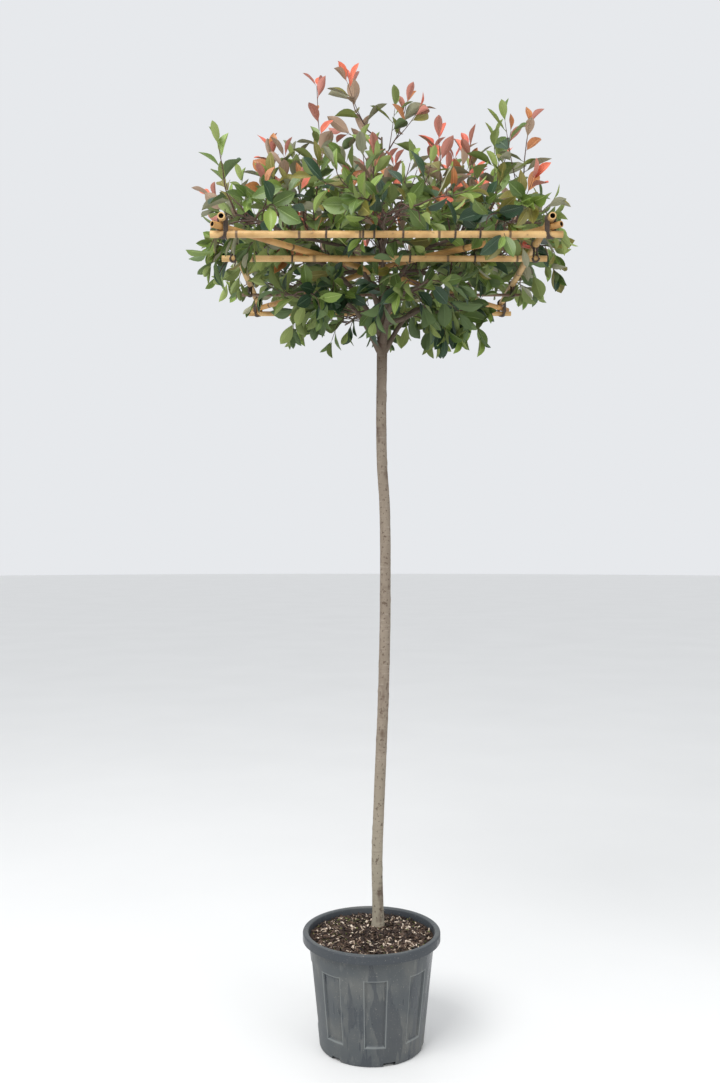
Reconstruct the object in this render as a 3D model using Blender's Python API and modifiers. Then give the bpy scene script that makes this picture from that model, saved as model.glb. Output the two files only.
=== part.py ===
"""A photinia trained as a flat-headed standard: one clear stem in a nursery pot, and a square
crown tied down on a bamboo frame. Metres, +Z up, origin at the middle of the pot's underside.
The front of the tree faces -Y."""

import math
import random

import bmesh
import bpy
from mathutils import Matrix, Vector
from mathutils.bvhtree import BVHTree

GAP = 0.0003
SEED = 11
FRONT = math.radians(-90.0)

# Nursery pot, one sheet of plastic
POT_HEIGHT = 0.400
POT_SHEET = 0.003
BASE_RADIUS = 0.1835
WALL_FLARE = 0.104
FOOT_ROUND = 0.008
RIM_RADIUS = 0.2435
RIM_DEPTH = 0.030
RIM_ROUND = 0.005
MOUTH_RADIUS = 0.2235
TURN_STEPS = 32
PANELS = 8
PANEL_HALF_ANGLE = math.radians(11.0)
PANEL_BOTTOM = 0.065
PANEL_TOP = 0.305
PANEL_DEPTH = 0.006
FIRST_PANEL = math.radians(3.0)
DRAINS = 6
DRAIN_WIDTH = 0.041
DRAIN_HEIGHT = 0.013
DRAIN_DEPTH = 0.016
FIRST_DRAIN = math.radians(18.0)

# Potting soil, mounded a little round the stem
SOIL_TOP = 0.388
SOIL_EDGE = 0.376
SOIL_FLAT_RADIUS = 0.112
SOIL_INSET = 0.0004

# Bamboo frame: offset in y and radius of each cross bar, from front to back
FRAME_X = 0.038
FRAME_Y = -0.060
FRAME_Z = 2.688
BAR_LENGTH = 1.050
BARS = {
    "front": (-0.534, 0.0110),
    "fore": (-0.268, 0.0105),
    "aft": (0.239, 0.0060),
    "back": (0.534, 0.0100),
}
SIDE_OFFSET = 0.488
SIDE_LENGTH = 1.140
SIDE_RADIUS = 0.0115
BRACE_RADIUS = 0.0105
BRACE_OVERHANG = 0.040
ARCH_STEPS = 8
ARCH_END = 0.060
POLE_ROUND = 2

# Stem: height, x and y of its middle line, then height and radius
LEADER_RADIUS = 0.0140
LEADER_TOP = 2.860
UPRIGHT_FROM = 2.560
STEM_ROUTE = (
    (0.388, 0.024, 0.070),
    (0.440, 0.024, 0.070),
    (0.630, 0.021, 0.065),
    (0.920, 0.031, 0.055),
    (1.220, 0.043, 0.045),
    (1.570, 0.049, 0.030),
    (1.890, 0.047, 0.018),
    (2.060, 0.037, 0.008),
    (2.230, 0.034, -0.004),
    (2.400, 0.036, -0.016),
)
STEM_RADII = (
    (0.388, 0.0245),
    (0.405, 0.0222),
    (0.440, 0.0207),
    (0.500, 0.0200),
    (1.500, 0.0195),
    (2.350, 0.0182),
    (2.500, 0.0188),
    (2.650, LEADER_RADIUS),
    (2.760, LEADER_RADIUS),
    (LEADER_TOP, 0.0085),
)
STEM_STEPS = 14
STEM_ROUND = 4

# Boughs: height where each leaves the stem, its reach, and how late it rises
UPPER_LEVEL = FRAME_Z + 0.080
UPPER_BOUGHS = (
    (2.550, 0.350, 2.4),
    (2.622, 0.210, 1.0),
    (2.572, 0.250, 1.0),
    (2.640, 0.200, 1.0),
    (2.490, 0.260, 1.0),
    (2.560, 0.220, 1.0),
    (2.610, 0.190, 1.0),
    (2.585, 0.230, 1.0),
)
LOWER_LEVEL = 2.610
LOWER_BOUGHS = (
    (2.440, 0.150, 1.3),
    (2.475, 0.120, 1.0),
    (2.435, 0.150, 1.3),
    (2.465, 0.120, 1.0),
)
LOWER_TURN = math.radians(22.5)
BOUGH_STEPS = 5
BOUGH_ROUND = 2
BOUGH_ROOT_RADIUS = 0.0095
BOUGH_TIP_RADIUS = 0.0060
STEM_END_RADIUS = 0.0035
MASS_STEM_STEPS = 4
MASS_STEM_SIDES = 4
UPPER_EDGE = 0.560
UPPER_CORNER = 0.770
LOWER_EDGE = 0.360
TOP_STEM_HEIGHT = 3.200

# Spaces that the masses of foliage keep to, with a clearance between them
CLEARANCE = 0.003
LIMB_CLEARANCE = 0.0012
TIER_CEILING = 2.672
TIER_RADIUS = 0.415
TOP_FLOOR = 2.885
TOP_RADIUS = 0.155
UNDERSIDE = 2.560
INNER_RADIUS = 0.045

# Where the twigs end: an even spread over the crown, leading shoots, and an edge that hangs
CROWN_HALF_WIDTH = 0.568
CROWN_HALF_DEPTH = 0.600
SQUARENESS = 4.0
HEAD_TOP = 3.040
HEAD_FALL = 0.190
TIP_SPACING = 0.134
ROW_SPACING = 0.121
TIP_JITTER = 0.28
TIP_LIFT = (-0.110, 0.070)
TALL_SHARE = 0.22
TALL_LIFT = (0.100, 0.260)
LEADING_SHOOTS = (
    (-0.463, -0.580, 3.000),
    (-0.344, -0.190, 3.130),
    (-0.190, 0.000, 3.430),
    (-0.080, 0.000, 3.455),
    (-0.040, 0.040, 3.280),
    (0.000, -0.290, 3.080),
    (0.117, 0.000, 3.377),
    (0.215, 0.080, 3.230),
    (0.310, -0.100, 3.150),
    (0.380, 0.170, 3.200),
    (0.450, -0.300, 3.150),
    (0.480, -0.500, 3.100),
)
APEX = 0.045
HANGING_TWIGS = 22
HANGING_JITTER = 0.3
HANGING_LOW = 2.690
HANGING_HIGH = 2.790
LOWER_TWIGS = 7
LOWER_DROP = 0.140
LOWER_TWIG_TURN = (math.radians(12.0), math.radians(42.0))
LOWER_TWIG_REACH = 0.040
LOWER_TWIG_RISE = 0.015
LOWER_LEAFY_SHARE = 0.95
TOP_TWIG_DROP = 0.200

# Twigs and leaves
TWIG_RADIUS = 0.0034
TWIG_TAPER = 0.25
TWIG_STEPS = 3
TWIG_SIDES = 3
TWIG_SETBACK = 0.075
TWIG_BEND = 0.70
TWIG_BEND_RISE = 0.035
LEAFY_SHARE = 0.80
LEAF_SPACING = 0.0505
LEAF_LENGTH = 0.126
LEAF_WIDTH = 0.060
LEAF_THICKNESS = 0.0018
LEAF_SIZES = (0.84, 1.12)
LEAF_WIDEST = 0.52
LEAF_CUP = 0.12
LEAF_CURL = 0.10
LEAF_ROOT = 0.0005
LEAF_LEAN = (36.0, 56.0)
LEAF_LEAN_GAIN = 7.0
LEAF_TRIES = ((0, 0, 1.0), (14, 1, 1.0), (-8, 2, 0.95), (24, 0, 0.9), (16, 1, 0.8), (30, 2, 0.75))
TURN_JITTER = math.radians(14.0)

BRACE_Z = FRAME_Z + BARS["front"][1] + BRACE_RADIUS + GAP
CORNER = Vector((SIDE_OFFSET, BARS["back"][0], 0.0))
CORNER_TURN = math.atan2(CORNER.y, CORNER.x)
LEADER_SETBACK = (LEADER_RADIUS + BRACE_RADIUS + GAP) / math.cos(CORNER_TURN)
LEADER = Vector((FRAME_X, FRAME_Y + LEADER_SETBACK, 0.0))


def clear_scene():
    for obj in list(bpy.data.objects):
        bpy.data.objects.remove(obj)


def collection(name):
    made = bpy.data.collections.new(name)
    bpy.context.scene.collection.children.link(made)
    return made


def material(name, colour, roughness):
    made = bpy.data.materials.new(name)
    made.use_nodes = True
    shader = made.node_tree.nodes["Principled BSDF"]
    shader.inputs["Base Color"].default_value = (*colour, 1.0)
    shader.inputs["Roughness"].default_value = roughness
    shader.inputs["Metallic"].default_value = 0.0
    return made


def mesh_of(bm, name):
    mesh = bpy.data.meshes.new(name)
    bm.to_mesh(mesh)
    bm.free()
    return mesh


def object_of(mesh, name, home, finish=None):
    obj = bpy.data.objects.new(name, mesh)
    home.objects.link(obj)
    if finish:
        mesh.materials.append(finish)
    return obj


def evaluated_mesh(obj):
    graph = bpy.context.evaluated_depsgraph_get()
    return bpy.data.meshes.new_from_object(obj.evaluated_get(graph))


def smooth(obj, angle_deg=35):
    obj.data.shade_smooth()
    obj.data.set_sharp_from_angle(angle=math.radians(angle_deg))


def hide_cutter(cutter):
    cutter.hide_render = True
    cutter.display_type = "WIRE"


def subtract(obj, cutter):
    cut = obj.modifiers.new("less_" + cutter.name, "BOOLEAN")
    cut.operation = "DIFFERENCE"
    cut.object = cutter


def plan(angle, radius, z=0.0):
    return Vector((radius * math.cos(angle), radius * math.sin(angle), z))


def turned(name, profile, home):
    """The surface that a profile sweeps round Z, with its facets set to the pot's panels."""
    bm = bmesh.new()
    points = [bm.verts.new((radius, 0.0, z)) for radius, z in profile]
    for pair in zip(points, points[1:]):
        bm.edges.new(pair)
    guide = object_of(mesh_of(bm, name), name, home)
    screw = guide.modifiers.new("turn", "SCREW")
    screw.steps = screw.render_steps = TURN_STEPS
    screw.use_merge_vertices = True
    screw.merge_threshold = 0.00005
    bm = bmesh.new()
    bm.from_mesh(evaluated_mesh(guide))
    bpy.data.objects.remove(guide)
    bmesh.ops.rotate(bm, verts=bm.verts, matrix=Matrix.Rotation(FIRST_PANEL, 3, "Z"))
    bmesh.ops.recalc_face_normals(bm, faces=bm.faces)
    return bm


def tube(name, points, radii, level, home, finish=None):
    """A round limb along the points: a bevelled curve made a mesh, with its caps welded on."""
    curve = bpy.data.curves.new(name, "CURVE")
    curve.dimensions = "3D"
    curve.bevel_depth = 1.0
    curve.bevel_resolution = level
    curve.use_fill_caps = True
    spline = curve.splines.new("POLY")
    spline.points.add(len(points) - 1)
    for point, place, radius in zip(spline.points, points, radii):
        point.co = (*place, 1.0)
        point.radius = radius
    guide = bpy.data.objects.new(name + "_guide", curve)
    home.objects.link(guide)
    bm = bmesh.new()
    bm.from_mesh(evaluated_mesh(guide))
    bm.transform(guide.matrix_world)
    bpy.data.objects.remove(guide)
    bmesh.ops.remove_doubles(bm, verts=bm.verts, dist=0.00001)
    bmesh.ops.recalc_face_normals(bm, faces=bm.faces)
    made = object_of(mesh_of(bm, name), name, home, finish)
    smooth(made)
    return made


# The pot and its soil

def wall_radius(z):
    """The outer radius of the tapering wall at height z."""
    return BASE_RADIUS + WALL_FLARE * z


def pot_profile():
    """The middle of the sheet, from the foot of the turned-down rim to the middle of the base."""
    half = POT_SHEET / 2
    skirt = RIM_RADIUS - half
    mouth = MOUTH_RADIUS + half
    top = POT_HEIGHT - half
    neck = POT_HEIGHT - RIM_DEPTH - RIM_ROUND
    return [
        (skirt, POT_HEIGHT - RIM_DEPTH),
        (skirt, top - RIM_ROUND),
        (skirt - RIM_ROUND, top),
        (mouth + RIM_ROUND, top),
        (mouth, top - RIM_ROUND),
        (wall_radius(neck) - half, neck),
        (wall_radius(PANEL_TOP) - half, PANEL_TOP),
        (wall_radius(PANEL_BOTTOM) - half, PANEL_BOTTOM),
        (wall_radius(FOOT_ROUND) - half, FOOT_ROUND + half),
        (BASE_RADIUS - FOOT_ROUND, half),
        (0.0, half),
    ]


def press_panels(bm):
    """Presses the upright panels into the wall, each with its sides sloped at 45 degrees."""
    for number in range(PANELS):
        towards = plan(FRONT + FIRST_PANEL + number * math.tau / PANELS, 1.0)
        chosen = []
        for face in bm.faces:
            centre = face.calc_center_median()
            flat = Vector((centre.x, centre.y, 0.0)).normalized()
            on_wall = PANEL_BOTTOM < centre.z < PANEL_TOP
            if on_wall and flat.dot(towards) > math.cos(PANEL_HALF_ANGLE):
                chosen.append(face)
        bmesh.ops.inset_region(bm, faces=chosen, thickness=PANEL_DEPTH, depth=-PANEL_DEPTH)


def make_drain_cutter(number, home):
    angle = FRONT + FIRST_DRAIN + number * math.tau / DRAINS
    bm = bmesh.new()
    bmesh.ops.create_cube(bm, size=1.0)
    bmesh.ops.scale(bm, verts=bm.verts, vec=(DRAIN_DEPTH * 2, DRAIN_WIDTH, DRAIN_HEIGHT * 2))
    bmesh.ops.rotate(bm, verts=bm.verts, matrix=Matrix.Rotation(angle, 3, "Z"))
    bmesh.ops.translate(bm, verts=bm.verts, vec=plan(angle, BASE_RADIUS))
    cutter = object_of(mesh_of(bm, "drain_cutter"), f"drain_cutter_{number + 1}", home)
    hide_cutter(cutter)
    return cutter


def make_pot(home, cutters, plastic):
    bm = turned("pot_sheet", pot_profile(), cutters)
    press_panels(bm)
    pot = object_of(mesh_of(bm, "pot"), "pot", home, plastic)
    wall = pot.modifiers.new("sheet", "SOLIDIFY")
    wall.thickness = POT_SHEET
    wall.offset = 0.0
    wall.use_even_offset = True
    for number in range(DRAINS):
        subtract(pot, make_drain_cutter(number, cutters))
    smooth(pot)


def make_soil(home, earth):
    """The plug of soil, clear of the pressed panels, out to the wall above them."""
    panel_inside = POT_SHEET + PANEL_DEPTH + SOIL_INSET
    wall_inside = POT_SHEET + SOIL_INSET
    neck = POT_HEIGHT - RIM_DEPTH - RIM_ROUND
    above_panels = PANEL_TOP + PANEL_DEPTH * 2
    floor = POT_SHEET + GAP
    profile = [
        (0.0, SOIL_TOP),
        (SOIL_FLAT_RADIUS, SOIL_TOP),
        (wall_radius(SOIL_EDGE) - wall_inside, SOIL_EDGE),
        (wall_radius(neck) - wall_inside, neck),
        (wall_radius(above_panels) - wall_inside, above_panels),
        (wall_radius(PANEL_TOP) - panel_inside, PANEL_TOP),
        (wall_radius(FOOT_ROUND) - panel_inside, FOOT_ROUND * 2),
        (BASE_RADIUS - FOOT_ROUND - panel_inside, floor),
        (0.0, floor),
    ]
    soil = object_of(mesh_of(turned("soil", profile, home), "soil"), "soil", home, earth)
    smooth(soil)


# The stem and the boughs that leave it

def between(table, value):
    """Reads a table of (place, size) rows at any place, in straight runs."""
    for (low, first), (high, second) in zip(table, table[1:]):
        if value <= high:
            share = max(0.0, (value - low) / (high - low))
            return first + (second - first) * share
    return table[-1][1]


def stem_point(z):
    """The stem's middle line: one smooth curve through its route, upright at the frame."""
    route = list(STEM_ROUTE) + [(UPRIGHT_FROM, LEADER.x, LEADER.y), (LEADER_TOP, LEADER.x, LEADER.y)]
    index = next((i for i in range(len(route) - 1) if z <= route[i + 1][0]), len(route) - 2)
    before = route[max(0, index - 1)]
    after = route[min(len(route) - 1, index + 2)]
    (low, *here), (high, *there) = route[index], route[index + 1]
    share = (z - low) / (high - low)
    place = []
    for axis in (1, 2):
        leave = (there[axis - 1] - before[axis]) / (high - before[0]) * (high - low)
        arrive = (after[axis] - here[axis - 1]) / (after[0] - low) * (high - low)
        place.append(
            here[axis - 1] * (2 * share**3 - 3 * share**2 + 1)
            + leave * (share**3 - 2 * share**2 + share)
            + there[axis - 1] * (3 * share**2 - 2 * share**3)
            + arrive * (share**3 - share**2)
        )
    return Vector((*place, z))


def stem_heights():
    marks = [height for height, _ in STEM_RADII]
    marks[0] = SOIL_TOP + GAP
    shaft = [0.5 + (UPRIGHT_FROM - 0.5) * step / STEM_STEPS for step in range(1, STEM_STEPS + 1)]
    near = (UPRIGHT_FROM - 0.5) / STEM_STEPS / 3
    return sorted(marks + [z for z in shaft if all(abs(z - mark) > near for mark in marks)])


def make_stem(home, cutters, bark):
    heights = stem_heights()
    places = [stem_point(z) for z in heights]
    radii = [between(STEM_RADII, z) for z in heights]
    stem = tube("stem", places, radii, STEM_ROUND, home, bark)
    cutter = tube("stem_cutter", places, [radius + GAP for radius in radii], STEM_ROUND, cutters)
    hide_cutter(cutter)
    return stem, cutter


def upper_bearing(number):
    """Four upper boughs run along the axes, and four beside the braces to the corners."""
    quarter, odd = divmod(number, 2)
    corner = CORNER_TURN if quarter % 2 == 0 else math.pi / 2 - CORNER_TURN
    return quarter * math.pi / 2 + odd * corner


def lower_bearing(number):
    return LOWER_TURN + number * math.pi / 2


def limb_place(bearing, level, bough, reach):
    """A place on a limb: it rises from the stem to its level at the bough's reach, then runs on."""
    start, tip, late = bough
    share = min(1.0, reach / tip) ** late
    height = start + (level - start) * (1 - (1 - share) ** 2)
    return LEADER + plan(bearing, reach, height)


def spread(first, last, steps):
    return [first + (last - first) * step / steps for step in range(steps + 1)]


def make_bough(name, bearing, level, bough, stem_cutter, home, bark):
    """A tapering limb from the stem's face to its tip, its root cut to the stem's round."""
    reaches = spread(0.0, bough[1], BOUGH_STEPS)
    places = [limb_place(bearing, level, bough, reach) for reach in reaches]
    radii = spread(BOUGH_ROOT_RADIUS, BOUGH_TIP_RADIUS, BOUGH_STEPS)
    made = tube(name, places, radii, BOUGH_ROUND, home, bark)
    subtract(made, stem_cutter)
    return made


def mass_stem_places(bearing, level, bough, edge):
    """The stem of a mass starts square to its bough's tip, 0.3 mm clear, and runs to the edge."""
    tip = limb_place(bearing, level, bough, bough[1])
    behind = limb_place(bearing, level, bough, bough[1] * (1 - 1 / BOUGH_STEPS))
    along = (tip - behind).normalized()
    reaches = spread(bough[1], edge, MASS_STEM_STEPS)[1:]
    later = [limb_place(bearing, level, bough, reach) for reach in reaches]
    return [tip + along * GAP, tip + along * BOUGH_TIP_RADIUS] + later


# The bamboo frame: cross bars, two long braces lashed on them, and side bars on top

def pole(name, start, end, radius, home, cane, arch=0.0):
    """One cane. An arched one is bent up between its ends to clear the cane under it."""
    places = [start]
    if arch:
        for step in range(ARCH_STEPS + 1):
            share = step / ARCH_STEPS
            rise = arch * math.sin(math.pi * share) ** 2
            bent = start.lerp(end, ARCH_END + (1 - 2 * ARCH_END) * share)
            places.append(bent + Vector((0.0, 0.0, rise)))
    places.append(end)
    return tube("frame_" + name, places, [radius] * len(places), POLE_ROUND, home, cane)


def make_frame(home, cane):
    poles = []
    for name, (offset, radius) in BARS.items():
        middle = Vector((FRAME_X, FRAME_Y + offset, BRACE_Z - BRACE_RADIUS - radius - GAP))
        half = Vector((BAR_LENGTH / 2, 0.0, 0.0))
        poles.append(pole(f"bar_{name}", middle - half, middle + half, radius, home, cane))
    middle = Vector((FRAME_X, FRAME_Y, BRACE_Z))
    for name, turn, arch in (("under", 1, 0.0), ("over", -1, 2 * BRACE_RADIUS + GAP)):
        half = plan(CORNER_TURN * turn, CORNER.length + BRACE_OVERHANG)
        poles.append(pole(f"brace_{name}", middle - half, middle + half, BRACE_RADIUS, home, cane, arch))
    side_z = BRACE_Z + BRACE_RADIUS + SIDE_RADIUS + GAP
    for name, side in (("left", -1), ("right", 1)):
        middle = Vector((FRAME_X + side * SIDE_OFFSET, FRAME_Y, side_z))
        half = Vector((0.0, SIDE_LENGTH / 2, 0.0))
        poles.append(pole(f"side_{name}", middle - half, middle + half, SIDE_RADIUS, home, cane))
    return poles


# The spaces that the masses of foliage keep to

def out_along(place, bearing):
    return (place - LEADER).dot(plan(bearing, 1.0))


def octagon(place):
    """How far out a place lies, measured on the bearing of the nearest upper bough."""
    return max(out_along(place, upper_bearing(number)) for number in range(len(UPPER_BOUGHS)))


def sector_limits(number):
    """The bearings halfway to the neighbouring upper boughs."""
    count = len(UPPER_BOUGHS)
    here = upper_bearing(number)
    before = upper_bearing((number - 1) % count) - (math.tau if number == 0 else 0.0)
    after = upper_bearing((number + 1) % count) + (math.tau if number == count - 1 else 0.0)
    return (here + before) / 2, (here + after) / 2


def in_sector(place, low, high):
    return (
        out_along(place, low + math.pi / 2) > CLEARANCE / 2
        and out_along(place, high - math.pi / 2) > CLEARANCE / 2
    )


def upper_space(number):
    """A slice of the crown over the frame, round the top mass and the lower ones."""
    low, high = sector_limits(number)
    bearing = upper_bearing(number)

    def holds(places):
        near = min(out_along(place, bearing) for place in places)
        lowest = min(place.z for place in places)
        highest = max(place.z for place in places)
        return (
            all(in_sector(place, low, high) for place in places)
            and near > INNER_RADIUS
            and lowest > UNDERSIDE
            and (highest < TOP_FLOOR - CLEARANCE or near > TOP_RADIUS + CLEARANCE)
            and (lowest > TIER_CEILING + CLEARANCE or near > TIER_RADIUS + CLEARANCE)
        )
    return holds


def lower_space(number):
    """A quarter of the room under the frame, round the fork."""
    low = lower_bearing(number) - math.pi / 4
    high = lower_bearing(number) + math.pi / 4

    def holds(places):
        return all(
            in_sector(place, low, high) and place.z < TIER_CEILING and octagon(place) < TIER_RADIUS
            for place in places
        )
    return holds


def top_space(places):
    return all(place.z > TOP_FLOOR and octagon(place) < TOP_RADIUS for place in places)


# Where the twigs end

def crown_share(x, y):
    """0 in the middle of the crown and 1 on its rounded square edge."""
    across = abs(x - FRAME_X) / CROWN_HALF_WIDTH
    deep = abs(y - FRAME_Y) / CROWN_HALF_DEPTH
    return (across**SQUARENESS + deep**SQUARENESS) ** (1 / SQUARENESS)


def spread_tips():
    """Tips in jittered rows over the whole crown, with some tall ones away from the front."""
    rng = random.Random(SEED)
    rows = math.ceil(CROWN_HALF_DEPTH / TIP_SPACING) + 1
    tips = []
    for row in range(-rows, rows + 1):
        for column in range(-rows, rows + 1):
            x = FRAME_X + (column + row % 2 / 2 + rng.uniform(-TIP_JITTER, TIP_JITTER)) * TIP_SPACING
            y = FRAME_Y + (row + rng.uniform(-TIP_JITTER, TIP_JITTER)) * ROW_SPACING
            lift = rng.uniform(*TIP_LIFT)
            if rng.random() < TALL_SHARE and y > LEADER.y:
                lift += rng.uniform(*TALL_LIFT)
            share = crown_share(x, y)
            nearest = min(math.hypot(x - shoot[0], y - shoot[1]) for shoot in LEADING_SHOOTS)
            if share < 1 and nearest > TIP_SPACING / 2:
                tips.append(Vector((x, y, HEAD_TOP - HEAD_FALL * share * share + lift)))
    return tips


def hanging_tips():
    """Tips round the crown's edge that hang past the frame."""
    rng = random.Random(SEED + 1)
    tips = []
    for number in range(HANGING_TWIGS):
        angle = (number + rng.uniform(-HANGING_JITTER, HANGING_JITTER)) * math.tau / HANGING_TWIGS
        edge = plan(angle, 1.0)
        edge /= crown_share(FRAME_X + edge.x, FRAME_Y + edge.y)
        tips.append(Vector((FRAME_X, FRAME_Y, rng.uniform(HANGING_LOW, HANGING_HIGH))) + edge)
    return tips


def crown_tips():
    shoots = [Vector((x, y, z - APEX)) for x, y, z in LEADING_SHOOTS]
    return shoots + spread_tips() + hanging_tips()


# Twigs and leaves

def stations(places):
    """Each place with the direction along the limb there and one across it, carried without twist."""
    across = (places[1] - places[0]).orthogonal()
    made = []
    for index, place in enumerate(places):
        along = (places[min(index + 1, len(places) - 1)] - places[max(index - 1, 0)]).normalized()
        across = (across - along * across.dot(along)).normalized()
        made.append((place, along, across))
    return made


def around(along, across, angle):
    return across * math.cos(angle) + along.cross(across) * math.sin(angle)


def sweep(places, radii, sides):
    """A closed twig: a small ring of sides extruded from place to place."""
    bm = bmesh.new()
    ring = bmesh.ops.create_circle(bm, cap_ends=True, radius=1.0, segments=sides)["verts"]
    face = ring[0].link_faces[0]
    for index, ((place, along, across), radius) in enumerate(zip(stations(places), radii)):
        if index:
            grown = bmesh.ops.extrude_face_region(bm, geom=[face])["geom"]
            if index > 1:
                bmesh.ops.delete(bm, geom=[face], context="FACES_ONLY")
            face = next(item for item in grown if isinstance(item, bmesh.types.BMFace))
        for number, vert in enumerate(face.verts):
            vert.co = place + around(along, across, math.tau * number / sides) * radius
    bmesh.ops.recalc_face_normals(bm, faces=bm.faces)
    return bm


def leaf_shape(root, along, face_up, length, width):
    """A leaf of eight faces: a four-sided ball drawn out to a root, a tip, two edges and two ridges."""
    side = face_up.cross(along)
    middle = root + along * length * LEAF_WIDEST
    edge_rise = face_up * width * LEAF_CUP
    corners = {
        (0, 0, -1): root,
        (0, 0, 1): root + along * length - face_up * length * LEAF_CURL,
        (1, 0, 0): middle + side * width / 2 + edge_rise,
        (-1, 0, 0): middle - side * width / 2 + edge_rise,
        (0, 1, 0): middle + face_up * LEAF_THICKNESS / 2,
        (0, -1, 0): middle - face_up * LEAF_THICKNESS / 2,
    }
    bm = bmesh.new()
    for vert in bmesh.ops.create_uvsphere(bm, u_segments=4, v_segments=2, radius=1.0)["verts"]:
        vert.co = corners[tuple(round(value) for value in vert.co)]
    return bm


def bezier(start, bend, tip, share):
    return start * (1 - share) ** 2 + bend * 2 * share * (1 - share) + tip * share**2


class Mass:
    """One mass of foliage: a stem, its twigs and their leaves, kept in a space and off the limbs."""

    def __init__(self, name, holds, limbs, seed):
        self.name = name
        self.holds = holds
        self.limbs = limbs
        self.rng = random.Random(seed)
        self.shapes = []
        self.trees = []
        self.twigs = []

    def add_stem(self, places, first_radius):
        radii = spread(first_radius, STEM_END_RADIUS, len(places) - 1)
        self.shapes.append(sweep(places, radii, MASS_STEM_SIDES))

    def keep_if_clear(self, bm, neighbours=()):
        """Keeps a shape that fits the space and touches no limb and no neighbour."""
        tree = BVHTree.FromBMesh(bm)
        blocked = not self.holds([vert.co for vert in bm.verts])
        if blocked or any(tree.overlap(other) for other in [self.limbs, *neighbours]):
            bm.free()
            return False
        self.shapes.append(bm)
        self.trees.append(tree)
        return True

    def add_twig(self, start, tip, rise=TWIG_BEND_RISE, leafy=LEAFY_SHARE):
        """A twig that leaves the stem level and turns to its tip."""
        bend = start.lerp(tip, TWIG_BEND)
        bend.z = start.z + rise
        places = [bezier(start, bend, tip, share) for share in spread(0.0, 1.0, TWIG_STEPS)]
        radii = spread(TWIG_RADIUS, TWIG_RADIUS * (1 - TWIG_TAPER), TWIG_STEPS)
        if self.keep_if_clear(sweep(places, radii, TWIG_SIDES)):
            length = sum((second - first).length for first, second in zip(places, places[1:]))
            self.twigs.append((stations(places), length * leafy, leafy, self.trees[-1]))

    def add_leaves(self):
        """Sets leaves in turn on the three sides of each twig, from its tip down."""
        for rings, leafy_length, leafy, own in self.twigs:
            count = max(3, round(leafy_length / LEAF_SPACING))
            for number in range(count):
                share = (1 - leafy * (number + 0.2) / count) * TWIG_STEPS
                index = min(int(share), TWIG_STEPS - 1)
                (first, along, across), (second, *_) = rings[index], rings[index + 1]
                place = first.lerp(second, share - index)
                self.add_leaf(place, (second - first).normalized(), across, number, own)

    def add_leaf(self, place, along_twig, across, number, own):
        """A leaf that stands clear of the others: where it would not, it is opened, turned or smaller."""
        neighbours = [tree for tree in self.trees if tree is not own]
        for opened, sides_on, size in LEAF_TRIES:
            side = math.tau / TWIG_SIDES * (number + sides_on + 0.5)
            outward = around(along_twig, across, side + self.rng.uniform(-TURN_JITTER, TURN_JITTER))
            outward = (outward - along_twig * outward.dot(along_twig)).normalized()
            lean = math.radians(self.rng.uniform(*LEAF_LEAN) + LEAF_LEAN_GAIN * number + opened)
            along = along_twig * math.cos(lean) + outward * math.sin(lean)
            face_up = along_twig * math.sin(lean) - outward * math.cos(lean)
            scale = size * self.rng.uniform(*LEAF_SIZES)
            root = place - along * LEAF_ROOT
            leaf = leaf_shape(root, along, face_up, LEAF_LENGTH * scale, LEAF_WIDTH * scale)
            if self.keep_if_clear(leaf, neighbours):
                return

    def fuse(self, home, leafage):
        """Joins all the shapes by one union, and keeps only the outside of the largest body."""
        joined = collection(self.name + "_shapes")
        mass = object_of(mesh_of(self.shapes[0], self.name), self.name, home)
        for number, bm in enumerate(self.shapes[1:]):
            object_of(mesh_of(bm, f"{self.name}_shape"), f"{self.name}_shape_{number + 1}", joined)
        union = mass.modifiers.new("fuse", "BOOLEAN")
        union.operation = "UNION"
        union.operand_type = "COLLECTION"
        union.collection = joined
        union.solver = "MANIFOLD"
        bm = bmesh.new()
        bm.from_mesh(evaluated_mesh(mass))
        mass.modifiers.remove(union)
        for shape in list(joined.objects):
            bpy.data.objects.remove(shape)
        bpy.data.collections.remove(joined)
        drop_smaller_bodies(bm)
        bm.to_mesh(mass.data)
        bm.free()
        mass.data.materials.append(leafage)


def drop_smaller_bodies(bm):
    """Deletes loose scraps, and the walls of hollows sealed by the union, which fills them."""
    remaining = set(bm.faces)
    bodies = []
    while remaining:
        body = set()
        edge = {remaining.pop()}
        while edge:
            body |= edge
            remaining -= edge
            edge = {other for face in edge for side in face.edges for other in side.link_faces} & remaining
        bodies.append(body)
    largest = max(bodies, key=len)
    scraps = [face for body in bodies if body is not largest for face in body]
    if scraps:
        bmesh.ops.delete(bm, geom=scraps, context="FACES")


# The three kinds of mass

def grow_upper(number, tips, limbs):
    bearing, bough = upper_bearing(number), UPPER_BOUGHS[number]
    edge = UPPER_CORNER if number % 2 else UPPER_EDGE
    mass = Mass(f"foliage_upper_{number + 1}", upper_space(number), limbs, SEED + 10 + number)
    mass.add_stem(mass_stem_places(bearing, UPPER_LEVEL, bough, edge), BOUGH_TIP_RADIUS)
    low, high = sector_limits(number)
    for tip in tips:
        if not in_sector(tip, low, high) or top_space([tip]):
            continue
        reach = out_along(tip, bearing) - TWIG_SETBACK
        reach = max(bough[1] + 2 * BOUGH_TIP_RADIUS, min(edge - BOUGH_TIP_RADIUS, reach))
        mass.add_twig(limb_place(bearing, UPPER_LEVEL, bough, reach), tip)
    return mass


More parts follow.
